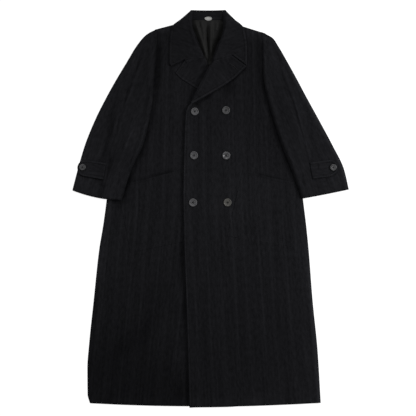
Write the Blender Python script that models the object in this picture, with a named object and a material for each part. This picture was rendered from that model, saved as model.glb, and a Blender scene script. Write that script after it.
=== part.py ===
"""A long double-breasted wool overcoat, laid flat on its back.

Every cut piece is a thin closed wall of cloth.  Each is worked out from a short
table of sections that run across it, from its inner edge to its outer edge, and is
then laid on the pieces below it, so that the layers rest on each other.  Where two
layers are really one cloth folded over (side folds, sleeve folds, lapel roll), the
upper one rolls down round the lower one.

Frame: +X to the wearer's left, +Y from hem to collar, +Z up, the surface at Z = 0.
"""
import math

import bpy
import numpy as np

for old in list(bpy.data.objects):
    bpy.data.objects.remove(old, do_unlink=True)

# ---------------------------------------------------------------- named sizes, mm
SQUARE = 3.25            # one square of the measuring grid laid over the coat
GRID_X = 210.60          # grid column of the coat's middle
GRID_Y = 208.55          # grid row of the coat's middle, rows count down from the collar
CLOTH = 3.0              # heavy wool coating with its backing
DOUBLE = 4.4             # collar and lapels: two cloths and a canvas
STAND = 4.0              # collar stand
PATCH = 2.8              # pocket cloth
TAB = 4.0                # cuff tab, two cloths
LINING = 1.0             # satin
LABEL = 0.8
GAP = 0.4                # between pieces that lie on each other
FOOT = 3.0               # width of the rolled edge that stands on what is below
ROLL = 7.0               # distance over which a folded edge rounds down
REACH = 5                # how far a cloth bridges over an edge below it
BUTTON_D = 26.0          # front buttons
BUTTON_CUFF_D = 21.0
BUTTON_T = 4.0
BUTTON_SIDES = 16

CELL = 1.0               # height map used to lay one piece on another
MAP_X, MAP_Y = 470, 670  # half sizes of the map

# ------------------------------------------------------------------- section tables
# Positions are in squares of the measuring grid.  "in" is the inner edge of a piece
# (towards the front opening), "out" the outer one.  roll_in and roll_out are 1 where
# that edge is a fold that rounds down over the layer below, 0 where it is cut or sewn.
PLAIN = ("in_x", "in_y", "out_x", "out_y", "bow", "roll_in", "roll_out")
CORNER = ("in_x", "in_y", "mid_x", "mid_y", "out_x", "out_y", "roll_in", "roll_out")

FRONT_LEFT = (            # on top, closes over the right front
    (227.5, 21.5, 264.8, 33.0, 0, 0, 0),      # shoulder
    (222.7, 36.0, 266.0, 44.4, 0, 0, 0),
    (216.7, 53.0, 266.8, 60.4, 0, 0, 0),
    (209.7, 70.0, 267.6, 76.2, 0, 0, 0),
    (201.2, 87.5, 274.6, 92.0, 0, 0, 0),      # armhole turns out
    (190.8, 103.4, 284.4, 107.0, 0, 0, 0.6),  # lapel breaks
    (187.5, 107.4, 288.4, 111.0, 0, 0, 0.85),
    (185.7, 113.0, 292.5, 115.0, 0, 0, 1),    # armpit, first button
    (184.6, 135.0, 295.5, 138.0, 0, 0, 1),
    (183.9, 160.0, 299.0, 160.0, 0, 0, 1),    # waist, second button
    (183.3, 199.0, 303.1, 199.0, 0, 0, 1),    # third button
    (183.8, 225.0, 306.3, 225.0, 0, 0, 1),
    (184.4, 250.0, 308.8, 250.0, 0, 0, 1),
    (186.3, 300.0, 312.7, 300.0, 0, 0, 1),
    (187.9, 350.0, 317.7, 350.0, 0, 0, 1),
    (189.5, 407.4, 320.9, 403.1, 0.9, 0, 1),  # hem
)
FRONT_RIGHT = (
    (189.4, 20.4, 154.6, 29.4, 0, 0, 0),      # shoulder
    (195.7, 36.0, 154.4, 44.4, 0, 0, 0),
    (202.5, 53.0, 153.6, 60.4, 0, 0, 0),
    (210.0, 70.0, 152.2, 78.2, 0, 0, 0),
    (219.8, 87.0, 142.4, 94.0, 0, 0, 0),      # armhole turns out
    (226.8, 104.5, 128.6, 107.0, 0, 0, 0.6),  # lapel breaks
    (230.0, 113.0, 117.0, 115.0, 0, 0, 1),    # armpit
    (231.0, 135.0, 113.5, 138.0, 0, 0, 1),
    (231.4, 160.0, 110.5, 160.0, 0, 0, 1),    # waist
    (231.6, 199.0, 106.6, 199.0, 0, 0, 1),
    (231.8, 225.0, 103.1, 225.0, 0, 0, 1),
    (232.0, 250.0, 99.0, 250.0, 0, 0, 1),
    (232.0, 300.0, 93.6, 300.0, 0, 0, 1),
    (231.6, 345.0, 88.9, 345.0, 0, 0, 1),
    (231.3, 368.0, 87.2, 368.0, 0, 0, 1),
    (231.1, 396.5, 87.4, 394.5, 0, 0, 1),
    (231.0, 406.2, 89.8, 403.4, 1.4, 0, 1),   # hem, its corner rounded
)
BACK = (                  # inside the folds, from the wearer's right to the left
    (161.0, 34.0, 258.5, 36.5, -12.5, 0, 0),  # shoulders and neck
    (160.0, 44.0, 260.0, 44.0, -6.0, 0, 0),
    (159.0, 60.0, 261.0, 60.0, 0, 0, 0),
    (158.0, 78.0, 262.0, 76.0, 0, 0, 0),
    (147.0, 95.0, 270.0, 93.0, 0, 0, 0),
    (132.0, 108.5, 281.0, 108.5, 0, 0, 0),
    (120.5, 117.0, 289.0, 117.0, 0, 0, 0),    # armpits
    (113.8, 160.0, 294.8, 160.0, 0, 0, 0),
    (110.2, 199.0, 298.8, 199.0, 0, 0, 0),
    (102.3, 250.0, 305.5, 250.0, 0, 0, 0),
    (97.0, 300.0, 309.4, 300.0, 0, 0, 0),
    (91.8, 350.0, 314.4, 350.0, 0, 0, 0),
    (91.0, 402.2, 317.0, 401.4, 2.6, 0, 0),   # hem
)
SLEEVE_TOP_RIGHT = (
    (157.4, 29.3, 153.2, 30.6, 0, 0, 1),      # sleeve head at the shoulder
    (157.2, 34.0, 145.9, 35.0, 0, 0, 1),
    (156.9, 44.0, 137.2, 45.0, 0, 0, 1),
    (155.6, 60.0, 126.8, 62.0, 0, 0.1, 1),
    (154.4, 78.0, 116.0, 80.0, 0, 0.6, 1),    # armhole seam ends, fold begins
    (153.2, 97.0, 106.0, 98.0, 0, 1, 1),
    (149.5, 120.0, 95.0, 120.0, 0, 1, 1),
    (143.4, 145.0, 84.9, 145.0, 0, 1, 1),
    (131.5, 170.0, 77.8, 169.0, 0, 1, 1),
    (121.9, 200.4, 72.2, 190.4, 2.4, 1, 1),   # cuff
)
SLEEVE_TOP_LEFT = (
    (261.0, 31.8, 265.2, 33.2, 0, 0, 1),      # sleeve head at the shoulder
    (262.0, 37.6, 272.9, 38.0, 0, 0, 1),
    (262.5, 46.0, 278.3, 46.0, 0, 0, 1),
    (263.0, 61.0, 287.0, 61.0, 0, 0.1, 1),
    (263.7, 78.0, 296.4, 78.0, 0, 0.6, 1),    # armhole seam ends, fold begins
    (266.5, 97.0, 306.5, 97.0, 0, 1, 1),
    (273.0, 120.0, 319.1, 120.0, 0, 1, 1),
    (281.0, 145.0, 332.5, 145.0, 0, 1, 1),
    (291.0, 170.0, 343.9, 168.5, 0, 1, 1),
    (301.2, 198.9, 349.0, 189.5, 0.3, 1, 1),  # cuff
)
SLEEVE_UNDER_RIGHT = (
    (153.6, 39.0, 150.2, 39.6, 0, 0, 0),
    (153.6, 47.0, 142.0, 48.0, 0, 0, 0),
    (153.2, 60.0, 131.4, 62.6, 0, 0, 0),
    (152.4, 78.0, 120.0, 80.6, 0, 0, 0),
    (150.4, 97.0, 109.8, 98.6, 0, 0, 0),
    (146.3, 120.0, 98.8, 120.6, 0, 0, 0),
    (138.8, 144.5, 88.6, 145.8, 0, 0, 0),
    (127.8, 169.0, 81.4, 169.6, 0, 0, 0),
    (119.4, 198.6, 76.0, 189.8, 1.9, 0, 0),   # cuff
)
SLEEVE_UNDER_LEFT = (
    (266.6, 41.0, 269.8, 41.4, 0, 0, 0),
    (267.0, 48.0, 273.6, 48.4, 0, 0, 0),
    (267.3, 61.0, 282.2, 61.6, 0, 0, 0),
    (268.0, 78.0, 291.6, 78.6, 0, 0, 0),
    (271.0, 97.0, 301.8, 97.6, 0, 0, 0),
    (276.2, 120.0, 314.6, 120.6, 0, 0, 0),
    (284.2, 144.5, 327.7, 145.6, 0, 0, 0),
    (294.2, 169.0, 339.2, 169.0, 0, 0, 0),
    (303.6, 196.0, 345.0, 188.9, 0.3, 0, 0),  # cuff
)
LAPEL_RIGHT = (           # under, its lower end is hidden by the left lapel
    (205.3, 58.9, 184.9, 60.0, 175.4, 73.2, 1, 0),   # gorge seam and notch
    (209.4, 66.0, 191.6, 67.9, 180.5, 78.4, 1, 0),
    (213.9, 74.0, 199.6, 78.0, 189.0, 83.9, 1, 0),
    (219.0, 82.0, 207.6, 86.6, 199.5, 90.2, 1, 0),
    (224.5, 92.5, 219.0, 94.8, 214.5, 97.0, 1, 0),
    (230.0, 102.8, 229.0, 103.4, 228.0, 104.0, 1, 0),
)
LAPEL_LEFT = (
    (211.8, 62.4, 231.9, 55.1, 246.7, 66.5, 1, 0),   # gorge seam, peak
    (209.0, 67.0, 226.5, 63.5, 243.0, 69.9, 1, 0),
    (205.0, 75.0, 219.5, 74.0, 235.6, 77.2, 1, 0),
    (200.3, 83.5, 211.5, 83.8, 223.2, 86.4, 1, 0),
    (195.3, 93.2, 202.0, 94.0, 208.6, 95.0, 1, 0),
    (190.4, 102.8, 191.7, 103.2, 193.0, 103.6, 1, 0),
)
COLLAR_LEAF_RIGHT = (
    (193.0, 10.0, 192.0, 9.9, 191.1, 9.8, 1, 1),     # where the collar folds over
    (192.3, 18.0, 186.8, 18.2, 180.6, 18.9, 1, 1),
    (192.4, 26.0, 183.7, 25.8, 173.3, 25.1, 1, 1),   # meets the shoulder
    (194.6, 35.5, 183.0, 35.5, 170.2, 35.5, 1, 0),
    (198.2, 45.0, 183.2, 45.5, 169.5, 46.0, 1, 0),
    (202.0, 52.5, 183.8, 53.0, 169.3, 57.0, 1, 0),
    (204.3, 57.0, 184.5, 58.2, 169.4, 63.6, 1, 0),   # the tip is a little rounded
    (205.2, 58.7, 184.7, 59.8, 171.2, 66.5, 1, 0),   # gorge seam, notch, tip
)
COLLAR_LEAF_LEFT = (
    (222.3, 10.0, 223.8, 9.9, 225.4, 9.8, 1, 1),
    (223.0, 18.5, 228.9, 18.5, 234.5, 18.9, 1, 1),
    (223.2, 27.0, 232.7, 26.8, 242.7, 26.4, 1, 1),
    (221.6, 36.0, 233.0, 36.0, 245.4, 36.3, 1, 0),
    (216.9, 45.5, 232.4, 45.0, 246.8, 46.0, 1, 0),
    (213.9, 54.0, 232.0, 50.5, 246.9, 57.0, 1, 0),
    (211.6, 62.2, 231.9, 54.9, 246.9, 66.1, 1, 0),
)
COLLAR_UNDER = (          # the fall behind the neck, folded flat below the back
    (195.0, 14.6, 222.0, 14.6, 0, 0, 0),
    (188.5, 19.4, 228.5, 19.4, 0, 0, 0),
    (180.2, 26.6, 236.4, 27.2, 0, 0, 0),
    (177.2, 34.0, 239.4, 34.4, 1.8, 0, 0),
)
COLLAR_STAND = (          # across the back of the neck, top edge folded over
    (191.0, 9.7, 188.6, 20.0, 0, 1, 0),
    (200.0, 10.0, 199.8, 20.6, 0, 1, 0),
    (208.5, 10.1, 208.5, 20.8, 0, 1, 0),
    (216.6, 10.0, 217.0, 20.6, 0, 1, 0),
    (225.4, 9.7, 228.2, 20.2, 0, 1, 0),
)
LINING_BACK = (
    (188.0, 20.6, 228.5, 20.6, -0.4, 0, 0),
    (189.5, 32.0, 227.0, 32.0, 0, 0, 0),
    (193.0, 45.0, 223.0, 45.0, 0, 0, 0),
    (198.0, 58.0, 219.0, 58.0, 0, 0, 0),
    (201.0, 70.0, 217.0, 70.0, 0, 0, 0),
)
NECK_LABEL = (
    (206.7, 16.9, 209.9, 16.9, -0.2, 0, 0),
    (205.1, 17.6, 211.3, 17.6, 0, 0, 0),
    (204.6, 18.6, 211.8, 18.6, 0, 0, 0),
    (204.9, 19.4, 211.7, 19.4, 0, 0, 0),
    (206.2, 20.2, 210.8, 20.2, 0, 0, 0),
    (207.4, 20.8, 209.6, 20.8, 0.2, 0, 0),
)
POCKET_LEFT = (           # mouth, middle, bottom
    (243.0, 169.4, 297.5, 182.8, 1.2, 0, 0),
    (235.0, 202.5, 295.0, 214.7, 0, 0, 0),
    (227.0, 236.0, 291.5, 246.5, 0, 0, 0),
)
POCKET_RIGHT = (
    (180.5, 169.8, 117.0, 185.0, 0.8, 0, 0),
    (186.0, 205.0, 123.7, 219.0, 0, 0, 0),
    (192.0, 240.0, 130.5, 252.5, 0, 0, 0),
)
CUFF_TAB_RIGHT = (        # from the seam to the buttoned end
    (106.6, 163.2, 103.6, 179.8, 0, 0, 0),
    (97.0, 161.8, 92.5, 177.9, 0, 0, 0),
    (87.5, 160.2, 83.2, 176.0, 0, 0, 0),
    (82.3, 160.8, 79.3, 173.6, 0, 0, 0),
    (79.4, 163.2, 78.0, 170.4, 0, 0, 0),
    (78.0, 165.6, 77.6, 167.8, 0, 0, 0),
)
CUFF_TAB_LEFT = (
    (309.4, 162.6, 312.4, 179.0, 0, 0, 0),
    (320.0, 161.2, 322.0, 177.8, 0, 0, 0),
    (330.0, 160.0, 330.5, 176.4, 0, 0, 0),
    (334.3, 161.4, 335.0, 174.0, 0, 0, 0),
    (336.6, 163.8, 337.0, 171.4, 0, 0, 0),
    (337.6, 166.4, 337.7, 168.8, 0, 0, 0),
)
BUTTONS = (               # name, x, y, diameter, what it is sewn on
    ("button_front_1", 194.8, 111.7, BUTTON_D, "front_left"),
    ("button_front_2", 226.0, 110.5, BUTTON_D, "front_left"),
    ("button_front_3", 194.0, 155.5, BUTTON_D, "front_left"),
    ("button_front_4", 226.2, 155.7, BUTTON_D, "front_left"),
    ("button_front_5", 193.1, 202.6, BUTTON_D, "front_left"),
    ("button_front_6", 227.5, 202.5, BUTTON_D, "front_left"),
    ("button_cuff_right", 83.0, 167.3, BUTTON_CUFF_D, "cuff_tab_right"),
    ("button_cuff_left", 333.0, 167.6, BUTTON_CUFF_D, "cuff_tab_left"),
)
# The largest soft folds: piece, ends of the ridge, its half width and height in mm.
FOLDS = (
    ("collar_leaf_right", 192.5, 14, 207.0, 57, 20, 4.5),    # lapel and collar roll
    ("collar_leaf_left", 224.5, 14, 212.0, 60, 20, 4.5),
    ("lapel_right", 208.5, 60, 222.0, 88, 16, 2.5),
    ("lapel_left", 211.5, 63, 196.0, 92, 18, 3.5),
    ("lining_back", 203.2, 24, 206.5, 56, 6, 2.2),           # both sides of the pleat
    ("lining_back", 212.6, 24, 210.0, 56, 6, 2.2),
    ("sleeve_top_right", 153.0, 40, 151.0, 104, 16, 3.0),    # beside the armholes
    ("sleeve_top_left", 267.5, 42, 270.5, 104, 16, 3.0),
    ("sleeve_top_right", 138.0, 60, 124.0, 120, 16, 1.8),    # along the sleeves
    ("sleeve_top_left", 282.0, 74, 300.0, 128, 16, 1.8),
    ("front_right", 128.0, 300, 121.0, 398, 26, 2.0),        # in the skirt
    ("front_left", 264.0, 260, 270.0, 398, 26, 2.2),
)


# ------------------------------------------------------------------------ geometry
def at(gx, gy):
    """Grid squares to millimetres, the coat's middle at the origin."""
    return ((np.asarray(gx, float) - GRID_X) * SQUARE,
            (GRID_Y - np.asarray(gy, float)) * SQUARE)


def ease(knots, values, where):
    """Smooth curve through the table's rows that never overshoots them."""
    step = np.diff(knots)
    rate = np.diff(values) / step
    slope = np.zeros(len(knots))
    slope[0], slope[-1] = rate[0], rate[-1]
    for i in range(1, len(knots) - 1):
        a, b = rate[i - 1], rate[i]
        if a * b > 0:
            w1 = 2 * step[i] + step[i - 1]
            w2 = step[i] + 2 * step[i - 1]
            slope[i] = (w1 + w2) / (w1 / a + w2 / b)
    k = np.clip(np.searchsorted(knots, where) - 1, 0, len(step) - 1)
    h = step[k]
    t = (where - knots[k]) / h
    return ((1 + 2 * t) * (1 - t) ** 2 * values[k] + t * (1 - t) ** 2 * h * slope[k]
            + t * t * (3 - 2 * t) * values[k + 1] + t * t * (t - 1) * h * slope[k + 1])


def sections(columns, table, count, first_edge, crowd):
    """The table's sections, spread to count rows, as named columns in mm.

    first_edge lists extra rows at those distances from the first one, and crowd
    above 1 sets the rows closer together towards the first one.
    """
    raw = {c: np.array([row[i] for row in table], float) for i, c in enumerate(columns)}
    for end in ("in", "mid", "out"):
        if end + "_x" in raw:
            raw[end + "_x"], raw[end + "_y"] = at(raw[end + "_x"], raw[end + "_y"])
    cx = (raw["in_x"] + raw["out_x"]) / 2
    cy = (raw["in_y"] + raw["out_y"]) / 2
    along = np.concatenate(([0], np.cumsum(np.hypot(np.diff(cx), np.diff(cy)))))
    share = np.linspace(0, 1, count) ** crowd
    where = first_edge[-1] + (along[-1] - first_edge[-1]) * share
    where = np.concatenate((np.array(first_edge[:-1], float), where))
    out = {c: ease(along, raw[c], where) for c in raw}
    if "mid_x" not in out:
        out["mid_x"] = (out["in_x"] + out["out_x"]) / 2
        out["mid_y"] = (out["in_y"] + out["out_y"]) / 2
        out["bow"] = out["bow"] * SQUARE
    else:
        out["bow"] = np.zeros(len(where))
    return out


def grid_points(sec, in_edge, out_edge, inner, outer):
    """Plan positions of a piece: a row for each section, columns from in to out."""
    rows = []
    for i in range(len(sec["in_x"])):
        a = np.array((sec["in_x"][i], sec["in_y"][i]))
        m = np.array((sec["mid_x"][i], sec["mid_y"][i]))
        b = np.array((sec["out_x"][i], sec["out_y"][i]))
        la, lb = np.linalg.norm(m - a), np.linalg.norm(b - m)
        ein = np.array(in_edge) * min(1.0, 0.6 * la / max(in_edge[-1], 1e-6))
        eout = np.array(out_edge) * min(1.0, 0.6 * lb / max(out_edge[-1], 1e-6))
        da = np.concatenate((ein[:-1], np.linspace(ein[-1], la, inner + 1))) / la
        db = np.concatenate((eout[:-1], np.linspace(eout[-1], lb, outer + 1))) / lb
        first = a + (m - a) * da[:, None]
        second = (b + (m - b) * db[:, None])[::-1][1:]
        row = np.concatenate((first, second))
        u = np.concatenate((da * la, (la + lb - db * lb)[::-1][1:])) / (la + lb)
        across = (b - a) / np.linalg.norm(b - a)
        down = np.array((across[1], -across[0]))
        if down[1] > 0:
            down = -down
        row = row + (4 * u * (1 - u) * sec["bow"][i])[:, None] * down
        rows.append(row)
    return np.array(rows)


def fold_distance(plan, sec, roll_first):
    """Distance of each point to the nearest folded edge, and how far that edge rolls."""
    n_rows, n_cols = plan.shape[:2]
    flat = plan.reshape(-1, 2)
    best = np.full(len(flat), 1e6)
    weight = np.zeros(len(flat))
    runs = [(plan[:, 0], sec["roll_in"]), (plan[:, -1], sec["roll_out"])]
    if roll_first:
        runs.append((plan[0], np.ones(n_cols)))
    for line, roll in runs:
        for i in range(len(line) - 1):
            w = min(1.0, (roll[i] + roll[i + 1]) / 2)
            if w < 0.05:
                continue
            p, q = line[i], line[i + 1]
            pq = q - p
            t = np.clip(((flat - p) @ pq) / max(pq @ pq, 1e-9), 0, 1)
            d = np.linalg.norm(flat - p - t[:, None] * pq, axis=1)
            closer = d < best
            best[closer] = d[closer]
            weight[closer] = w
    return best, weight


def ridges(name, flat):
    """Height that the soft folds add to a piece at each of its points."""
    add = np.zeros(len(flat))
    for piece, x0, y0, x1, y1, half, height in FOLDS:
        if piece != name:
            continue
        p = np.array(at(x0, y0))
        q = np.array(at(x1, y1))
        pq = q - p
        t = np.clip(((flat - p) @ pq) / (pq @ pq), 0, 1)
        d = np.linalg.norm(flat - p - t[:, None] * pq, axis=1)
        add += height * np.exp(-(d / half) ** 2)
    return add


# ------------------------------------------------------------ laying piece on piece
N_X, N_Y = int(2 * MAP_X / CELL), int(2 * MAP_Y / CELL)
tops = {}


def cells_under(tri, plan):
    """Map cells below one triangle, with their weights on its three corners."""
    p = plan[tri]
    lo = np.floor((p.min(0) + (MAP_X, MAP_Y)) / CELL - 1).astype(int)
    hi = np.ceil((p.max(0) + (MAP_X, MAP_Y)) / CELL + 1).astype(int)
    ix, iy = np.meshgrid(np.arange(lo[0], hi[0] + 1), np.arange(lo[1], hi[1] + 1))
    ix, iy = ix.ravel(), iy.ravel()
    x = (ix + 0.5) * CELL - MAP_X
    y = (iy + 0.5) * CELL - MAP_Y
    (ax, ay), (bx, by), (cx, cy) = p
    area = (bx - ax) * (cy - ay) - (cx - ax) * (by - ay)
    w1 = ((x - ax) * (cy - ay) - (cx - ax) * (y - ay)) / area
    w2 = ((bx - ax) * (y - ay) - (x - ax) * (by - ay)) / area
    w0 = 1 - w1 - w2
    longest = max(math.hypot(bx - ax, by - ay), math.hypot(cx - bx, cy - by),
                  math.hypot(ax - cx, ay - cy))
    slack = 0.75 * CELL * longest / abs(area)
    keep = (w0 > -slack) & (w1 > -slack) & (w2 > -slack)
    w = np.clip(np.stack((w0, w1, w2), 1)[keep], 0, 1)
    return ix[keep], iy[keep], w / w.sum(1, keepdims=True)


def widen(field, cells):
    """Each cell takes the highest value within this many cells."""
    for _ in range(cells):
        wide = field.copy()
        wide[1:] = np.maximum(wide[1:], field[:-1])
        wide[:-1] = np.maximum(wide[:-1], field[1:])
        field = wide.copy()
        field[:, 1:] = np.maximum(field[:, 1:], wide[:, :-1])
        field[:, :-1] = np.maximum(field[:, :-1], wide[:, 1:])
    return field


def below(on):
    """Height map of everything that a piece is laid on."""
    field = np.zeros((N_Y, N_X), np.float32)
    for name in on:
        np.maximum(field, tops[name], out=field)
    return field


def look_up(field, flat):
    ix = np.clip(((flat[:, 0] + MAP_X) / CELL).astype(int), 0, N_X - 1)
    iy = np.clip(((flat[:, 1] + MAP_Y) / CELL).astype(int), 0, N_Y - 1)
    return field[iy, ix].astype(float)


def settle(low, tris, spots, goal):
    """Raise corners until the underside is nowhere below the goal map.

    Each triangle's worst spot lifts its three corners in proportion to their weights.
    """
    for _ in range(400):
        lift = np.zeros(len(low))
        for tri, (ix, iy, w) in zip(tris, spots):
            if not len(ix):
                continue
            need = goal[iy, ix] - w @ low[tri]
            k = int(np.argmax(need))
            if need[k] > 1e-3:
                lift[tri] = np.maximum(lift[tri], need[k] * w[k] / (w[k] @ w[k]))
        if lift.max() < 1e-3:
            break
        low = low + lift
    return low


# ------------------------------------------------------------------------ materials
def material(name, colour, roughness):
    mat = bpy.data.materials.new(name)
    mat.use_nodes = True
    shader = mat.node_tree.nodes["Principled BSDF"]
    shader.inputs["Base Color"].default_value = (*colour, 1.0)
    shader.inputs["Roughness"].default_value = roughness
    shader.inputs["Metallic"].default_value = 0.0
    mat.diffuse_color = (*colour, 1.0)
    return mat


WOOL = material("wool_black", (0.009, 0.009, 0.010), 0.95)
SATIN = material("lining_satin", (0.030, 0.028, 0.024), 0.45)
HORN = material("button_horn", (0.045, 0.045, 0.048), 0.35)
WHITE = material("label_cloth", (0.45, 0.44, 0.41), 0.85)


def add_object(name, points, faces, mat, smooth):
    mesh = bpy.data.meshes.new(name)
    mesh.from_pydata([tuple(p) for p in np.asarray(points) * 0.001], [], faces)
    mesh.validate()
    mesh.update()
    if smooth:
        mesh.shade_smooth()
        mesh.set_sharp_from_angle(angle=math.radians(40))
    mesh.materials.append(mat)
    obj = bpy.data.objects.new(name, mesh)
    bpy.context.scene.collection.objects.link(obj)
    return obj


def lay(name, columns, table, on, thick, mat, rows, inner, outer,
        fold_in=False, fold_out=False, fold_first=False, reach=REACH, crowd=1.0):
    """Make one cloth piece from its sections and lay it on the pieces below it."""
    folded = (0, 1.2, FOOT, ROLL)
    sec = sections(columns, table, rows, folded if fold_first else (0,), crowd)
    plan = grid_points(sec, folded if fold_in else (0,), folded if fold_out else (0,),
                       inner, outer)
    n_r, n_c = plan.shape[:2]
    flat = plan.reshape(-1, 2)

    tris = []
    for i in range(n_r - 1):
        for j in range(n_c - 1):
            a, b = i * n_c + j, i * n_c + j + 1
            c, d = a + n_c, b + n_c
            tris += [(a, c, b), (b, c, d)]
    tris = np.array(tris)
    p, q, r = flat[tris[:, 0]], flat[tris[:, 1]], flat[tris[:, 2]]
    area = (q[:, 0] - p[:, 0]) * (r[:, 1] - p[:, 1]) - (r[:, 0] - p[:, 0]) * (q[:, 1] - p[:, 1])
    if area.sum() < 0:
        tris = tris[:, ::-1]

    field = below(on)
    tight = widen(field, 1)
    wide = widen(field, reach)
    spots = [cells_under(t, flat) for t in tris]
    edge, roll = fold_distance(plan, sec, fold_first)
    foot = np.where(edge <= FOOT + 0.01, roll, 0.0)
    level = look_up(wide, flat) + ridges(name, flat)
    stand = look_up(tight, flat)
    low = foot * stand + (1 - foot) * level
    low = low + np.where(low > 0.01, GAP, 0.0)
    clearance = np.where(tight > 0.01, GAP, 0.0)
    low = settle(low, tris, spots, tight + clearance)

    # the rolled edge rounds over from what it stands on to the piece's own level
    high = low + thick
    crown = np.zeros(len(flat))
    for k in np.where(roll > 0.05)[0]:
        if edge[k] < ROLL - 0.01:
            i, j = divmod(k, n_c)
            near = [(i, jj) for jj in range(max(0, j - 4), min(n_c, j + 5))]
            near += [(ii, j) for ii in range(max(0, i - 4), min(n_r, i + 5))]
            inside = [ii * n_c + jj for ii, jj in near
                      if edge[ii * n_c + jj] >= edge[k] and edge[ii * n_c + jj] <= ROLL + 0.5]
            target = max(high[m] for m in inside) if inside else high[k]
            rise = math.sqrt(1 - (1 - min(edge[k] / ROLL, 1)) ** 2)
            crown[k] = low[k] + max(0.35 * thick, rise * (target - low[k]))
            high[k] = (1 - roll[k]) * high[k] + roll[k] * crown[k]

    top = np.zeros((N_Y, N_X), np.float32)
    for tri, (ix, iy, w) in zip(tris, spots):
        np.maximum.at(top, (iy, ix), (w @ high[tri]).astype(np.float32))
    tops[name] = top

    count = n_r * n_c
    points = np.concatenate((np.column_stack((flat, high)), np.column_stack((flat, low))))
    faces = [tuple(int(v) for v in t) for t in tris]
    faces += [tuple(int(v) + count for v in t[::-1]) for t in tris]
    rim = ([j for j in range(n_c)] + [i * n_c + n_c - 1 for i in range(1, n_r)]
           + [(n_r - 1) * n_c + j for j in range(n_c - 2, -1, -1)]
           + [i * n_c for i in range(n_r - 2, 0, -1)])
    ring = flat[rim]
    turn = np.sum(ring[:, 0] * np.roll(ring[:, 1], -1) - np.roll(ring[:, 0], -1) * ring[:, 1])
    if turn < 0:
        rim = rim[::-1]
    for a, b in zip(rim, rim[1:] + rim[:1]):
        faces += [(a, a + count, b), (b, a + count, b + count)]
    return add_object(name, points, faces, mat, True)


def button(name, gx, gy, diameter, on):
    """A turned button: rounded edge, raised rim and a dished middle."""
    x0, y0 = (float(v) for v in at(gx, gy))
    r = diameter / 2
    ix = np.arange(N_X)
    cx = (ix + 0.5) * CELL - MAP_X
    cy = (np.arange(N_Y) + 0.5) * CELL - MAP_Y
    disc = (cx[None, :] - x0) ** 2 + (cy[:, None] - y0) ** 2 < (r + 1.5) ** 2
    base = float(max(tops[on][disc].max(), 0)) + GAP
    profile = (            # share of the radius, share of the thickness
        (0.86, 0.00), (1.00, 0.28), (1.00, 0.66), (0.93, 1.00), (0.80, 1.00), (0.68, 0.62))
    points = [(x0, y0, base)]
    for share_r, share_t in profile:
        for k in range(BUTTON_SIDES):
            turn = 2 * math.pi * k / BUTTON_SIDES
            points.append((x0 + r * share_r * math.cos(turn),
                           y0 + r * share_r * math.sin(turn), base + BUTTON_T * share_t))
    points.append((x0, y0, base + BUTTON_T * profile[-1][1]))
    n = BUTTON_SIDES
    faces = [(0, 1 + (k + 1) % n, 1 + k) for k in range(n)]
    for s in range(len(profile) - 1):
        for k in range(n):
            a, b = 1 + s * n + k, 1 + s * n + (k + 1) % n
            faces += [(a, b, b + n), (a, b + n, a + n)]
    last = 1 + (len(profile) - 1) * n
    faces += [(last + k, last + (k + 1) % n, len(points) - 1) for k in range(n)]
    add_object(name, points, faces, HORN, True)


# --------------------------------------------------------- the coat, from below upwards
lay("collar_under", PLAIN, COLLAR_UNDER, (), DOUBLE, WOOL, 5, 4, 4)
lay("back", PLAIN, BACK, ("collar_under",), CLOTH, WOOL, 20, 4, 4, crowd=1.3)
lay("collar_stand", PLAIN, COLLAR_STAND, ("collar_under",), STAND, WOOL, 8, 1, 1, fold_in=True)
lay("lining_back", PLAIN, LINING_BACK, ("back", "collar_under", "collar_stand"), LINING, SATIN, 9, 6, 6)
lay("neck_label", PLAIN, NECK_LABEL, ("collar_stand", "lining_back", "back"), LABEL, WHITE,
    6, 3, 3, reach=2)
lay("front_right", PLAIN, FRONT_RIGHT, ("collar_under", "back", "lining_back"), CLOTH, WOOL,
    28, 5, 4, fold_out=True, fold_first=True, crowd=1.7)
lay("pocket_right", PLAIN, POCKET_RIGHT, ("front_right",), PATCH, WOOL, 5, 3, 3)
lay("lapel_right", CORNER, LAPEL_RIGHT, ("front_right", "lining_back", "back"), DOUBLE, WOOL,
    10, 2, 3, fold_in=True)
lay("front_left", PLAIN, FRONT_LEFT,
    ("collar_under", "back", "lining_back", "front_right", "pocket_right", "lapel_right"),
    CLOTH, WOOL, 28, 6, 4, fold_out=True, fold_first=True, crowd=1.7)
lay("pocket_left", PLAIN, POCKET_LEFT, ("front_left",), PATCH, WOOL, 5, 3, 3)
lay("lapel_left", CORNER, LAPEL_LEFT,
    ("front_left", "lapel_right", "front_right", "lining_back", "back"), DOUBLE, WOOL,
    10, 2, 3, fold_in=True)
lay("collar_leaf_right", CORNER, COLLAR_LEAF_RIGHT,
    ("collar_under", "back", "lining_back", "front_right", "collar_stand"), DOUBLE, WOOL,
    11, 2, 2, fold_in=True, fold_out=True)
lay("collar_leaf_left", CORNER, COLLAR_LEAF_LEFT,
    ("collar_under", "back", "lining_back", "front_left", "front_right", "lapel_right",
     "collar_stand"), DOUBLE, WOOL, 11, 2, 2, fold_in=True, fold_out=True)
lay("sleeve_under_right", PLAIN, SLEEVE_UNDER_RIGHT, ("back", "front_right", "pocket_right"),
    CLOTH, WOOL, 14, 3, 3)
lay("sleeve_under_left", PLAIN, SLEEVE_UNDER_LEFT, ("back", "front_left", "pocket_left"),
    CLOTH, WOOL, 14, 3, 3)
lay("sleeve_top_right", PLAIN, SLEEVE_TOP_RIGHT,
    ("back", "front_right", "pocket_right", "sleeve_under_right"), CLOTH, WOOL,
    17, 3, 3, fold_in=True, fold_out=True)
lay("sleeve_top_left", PLAIN, SLEEVE_TOP_LEFT,
    ("back", "front_left", "pocket_left", "sleeve_under_left"), CLOTH, WOOL,
    17, 3, 3, fold_in=True, fold_out=True)
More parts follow.
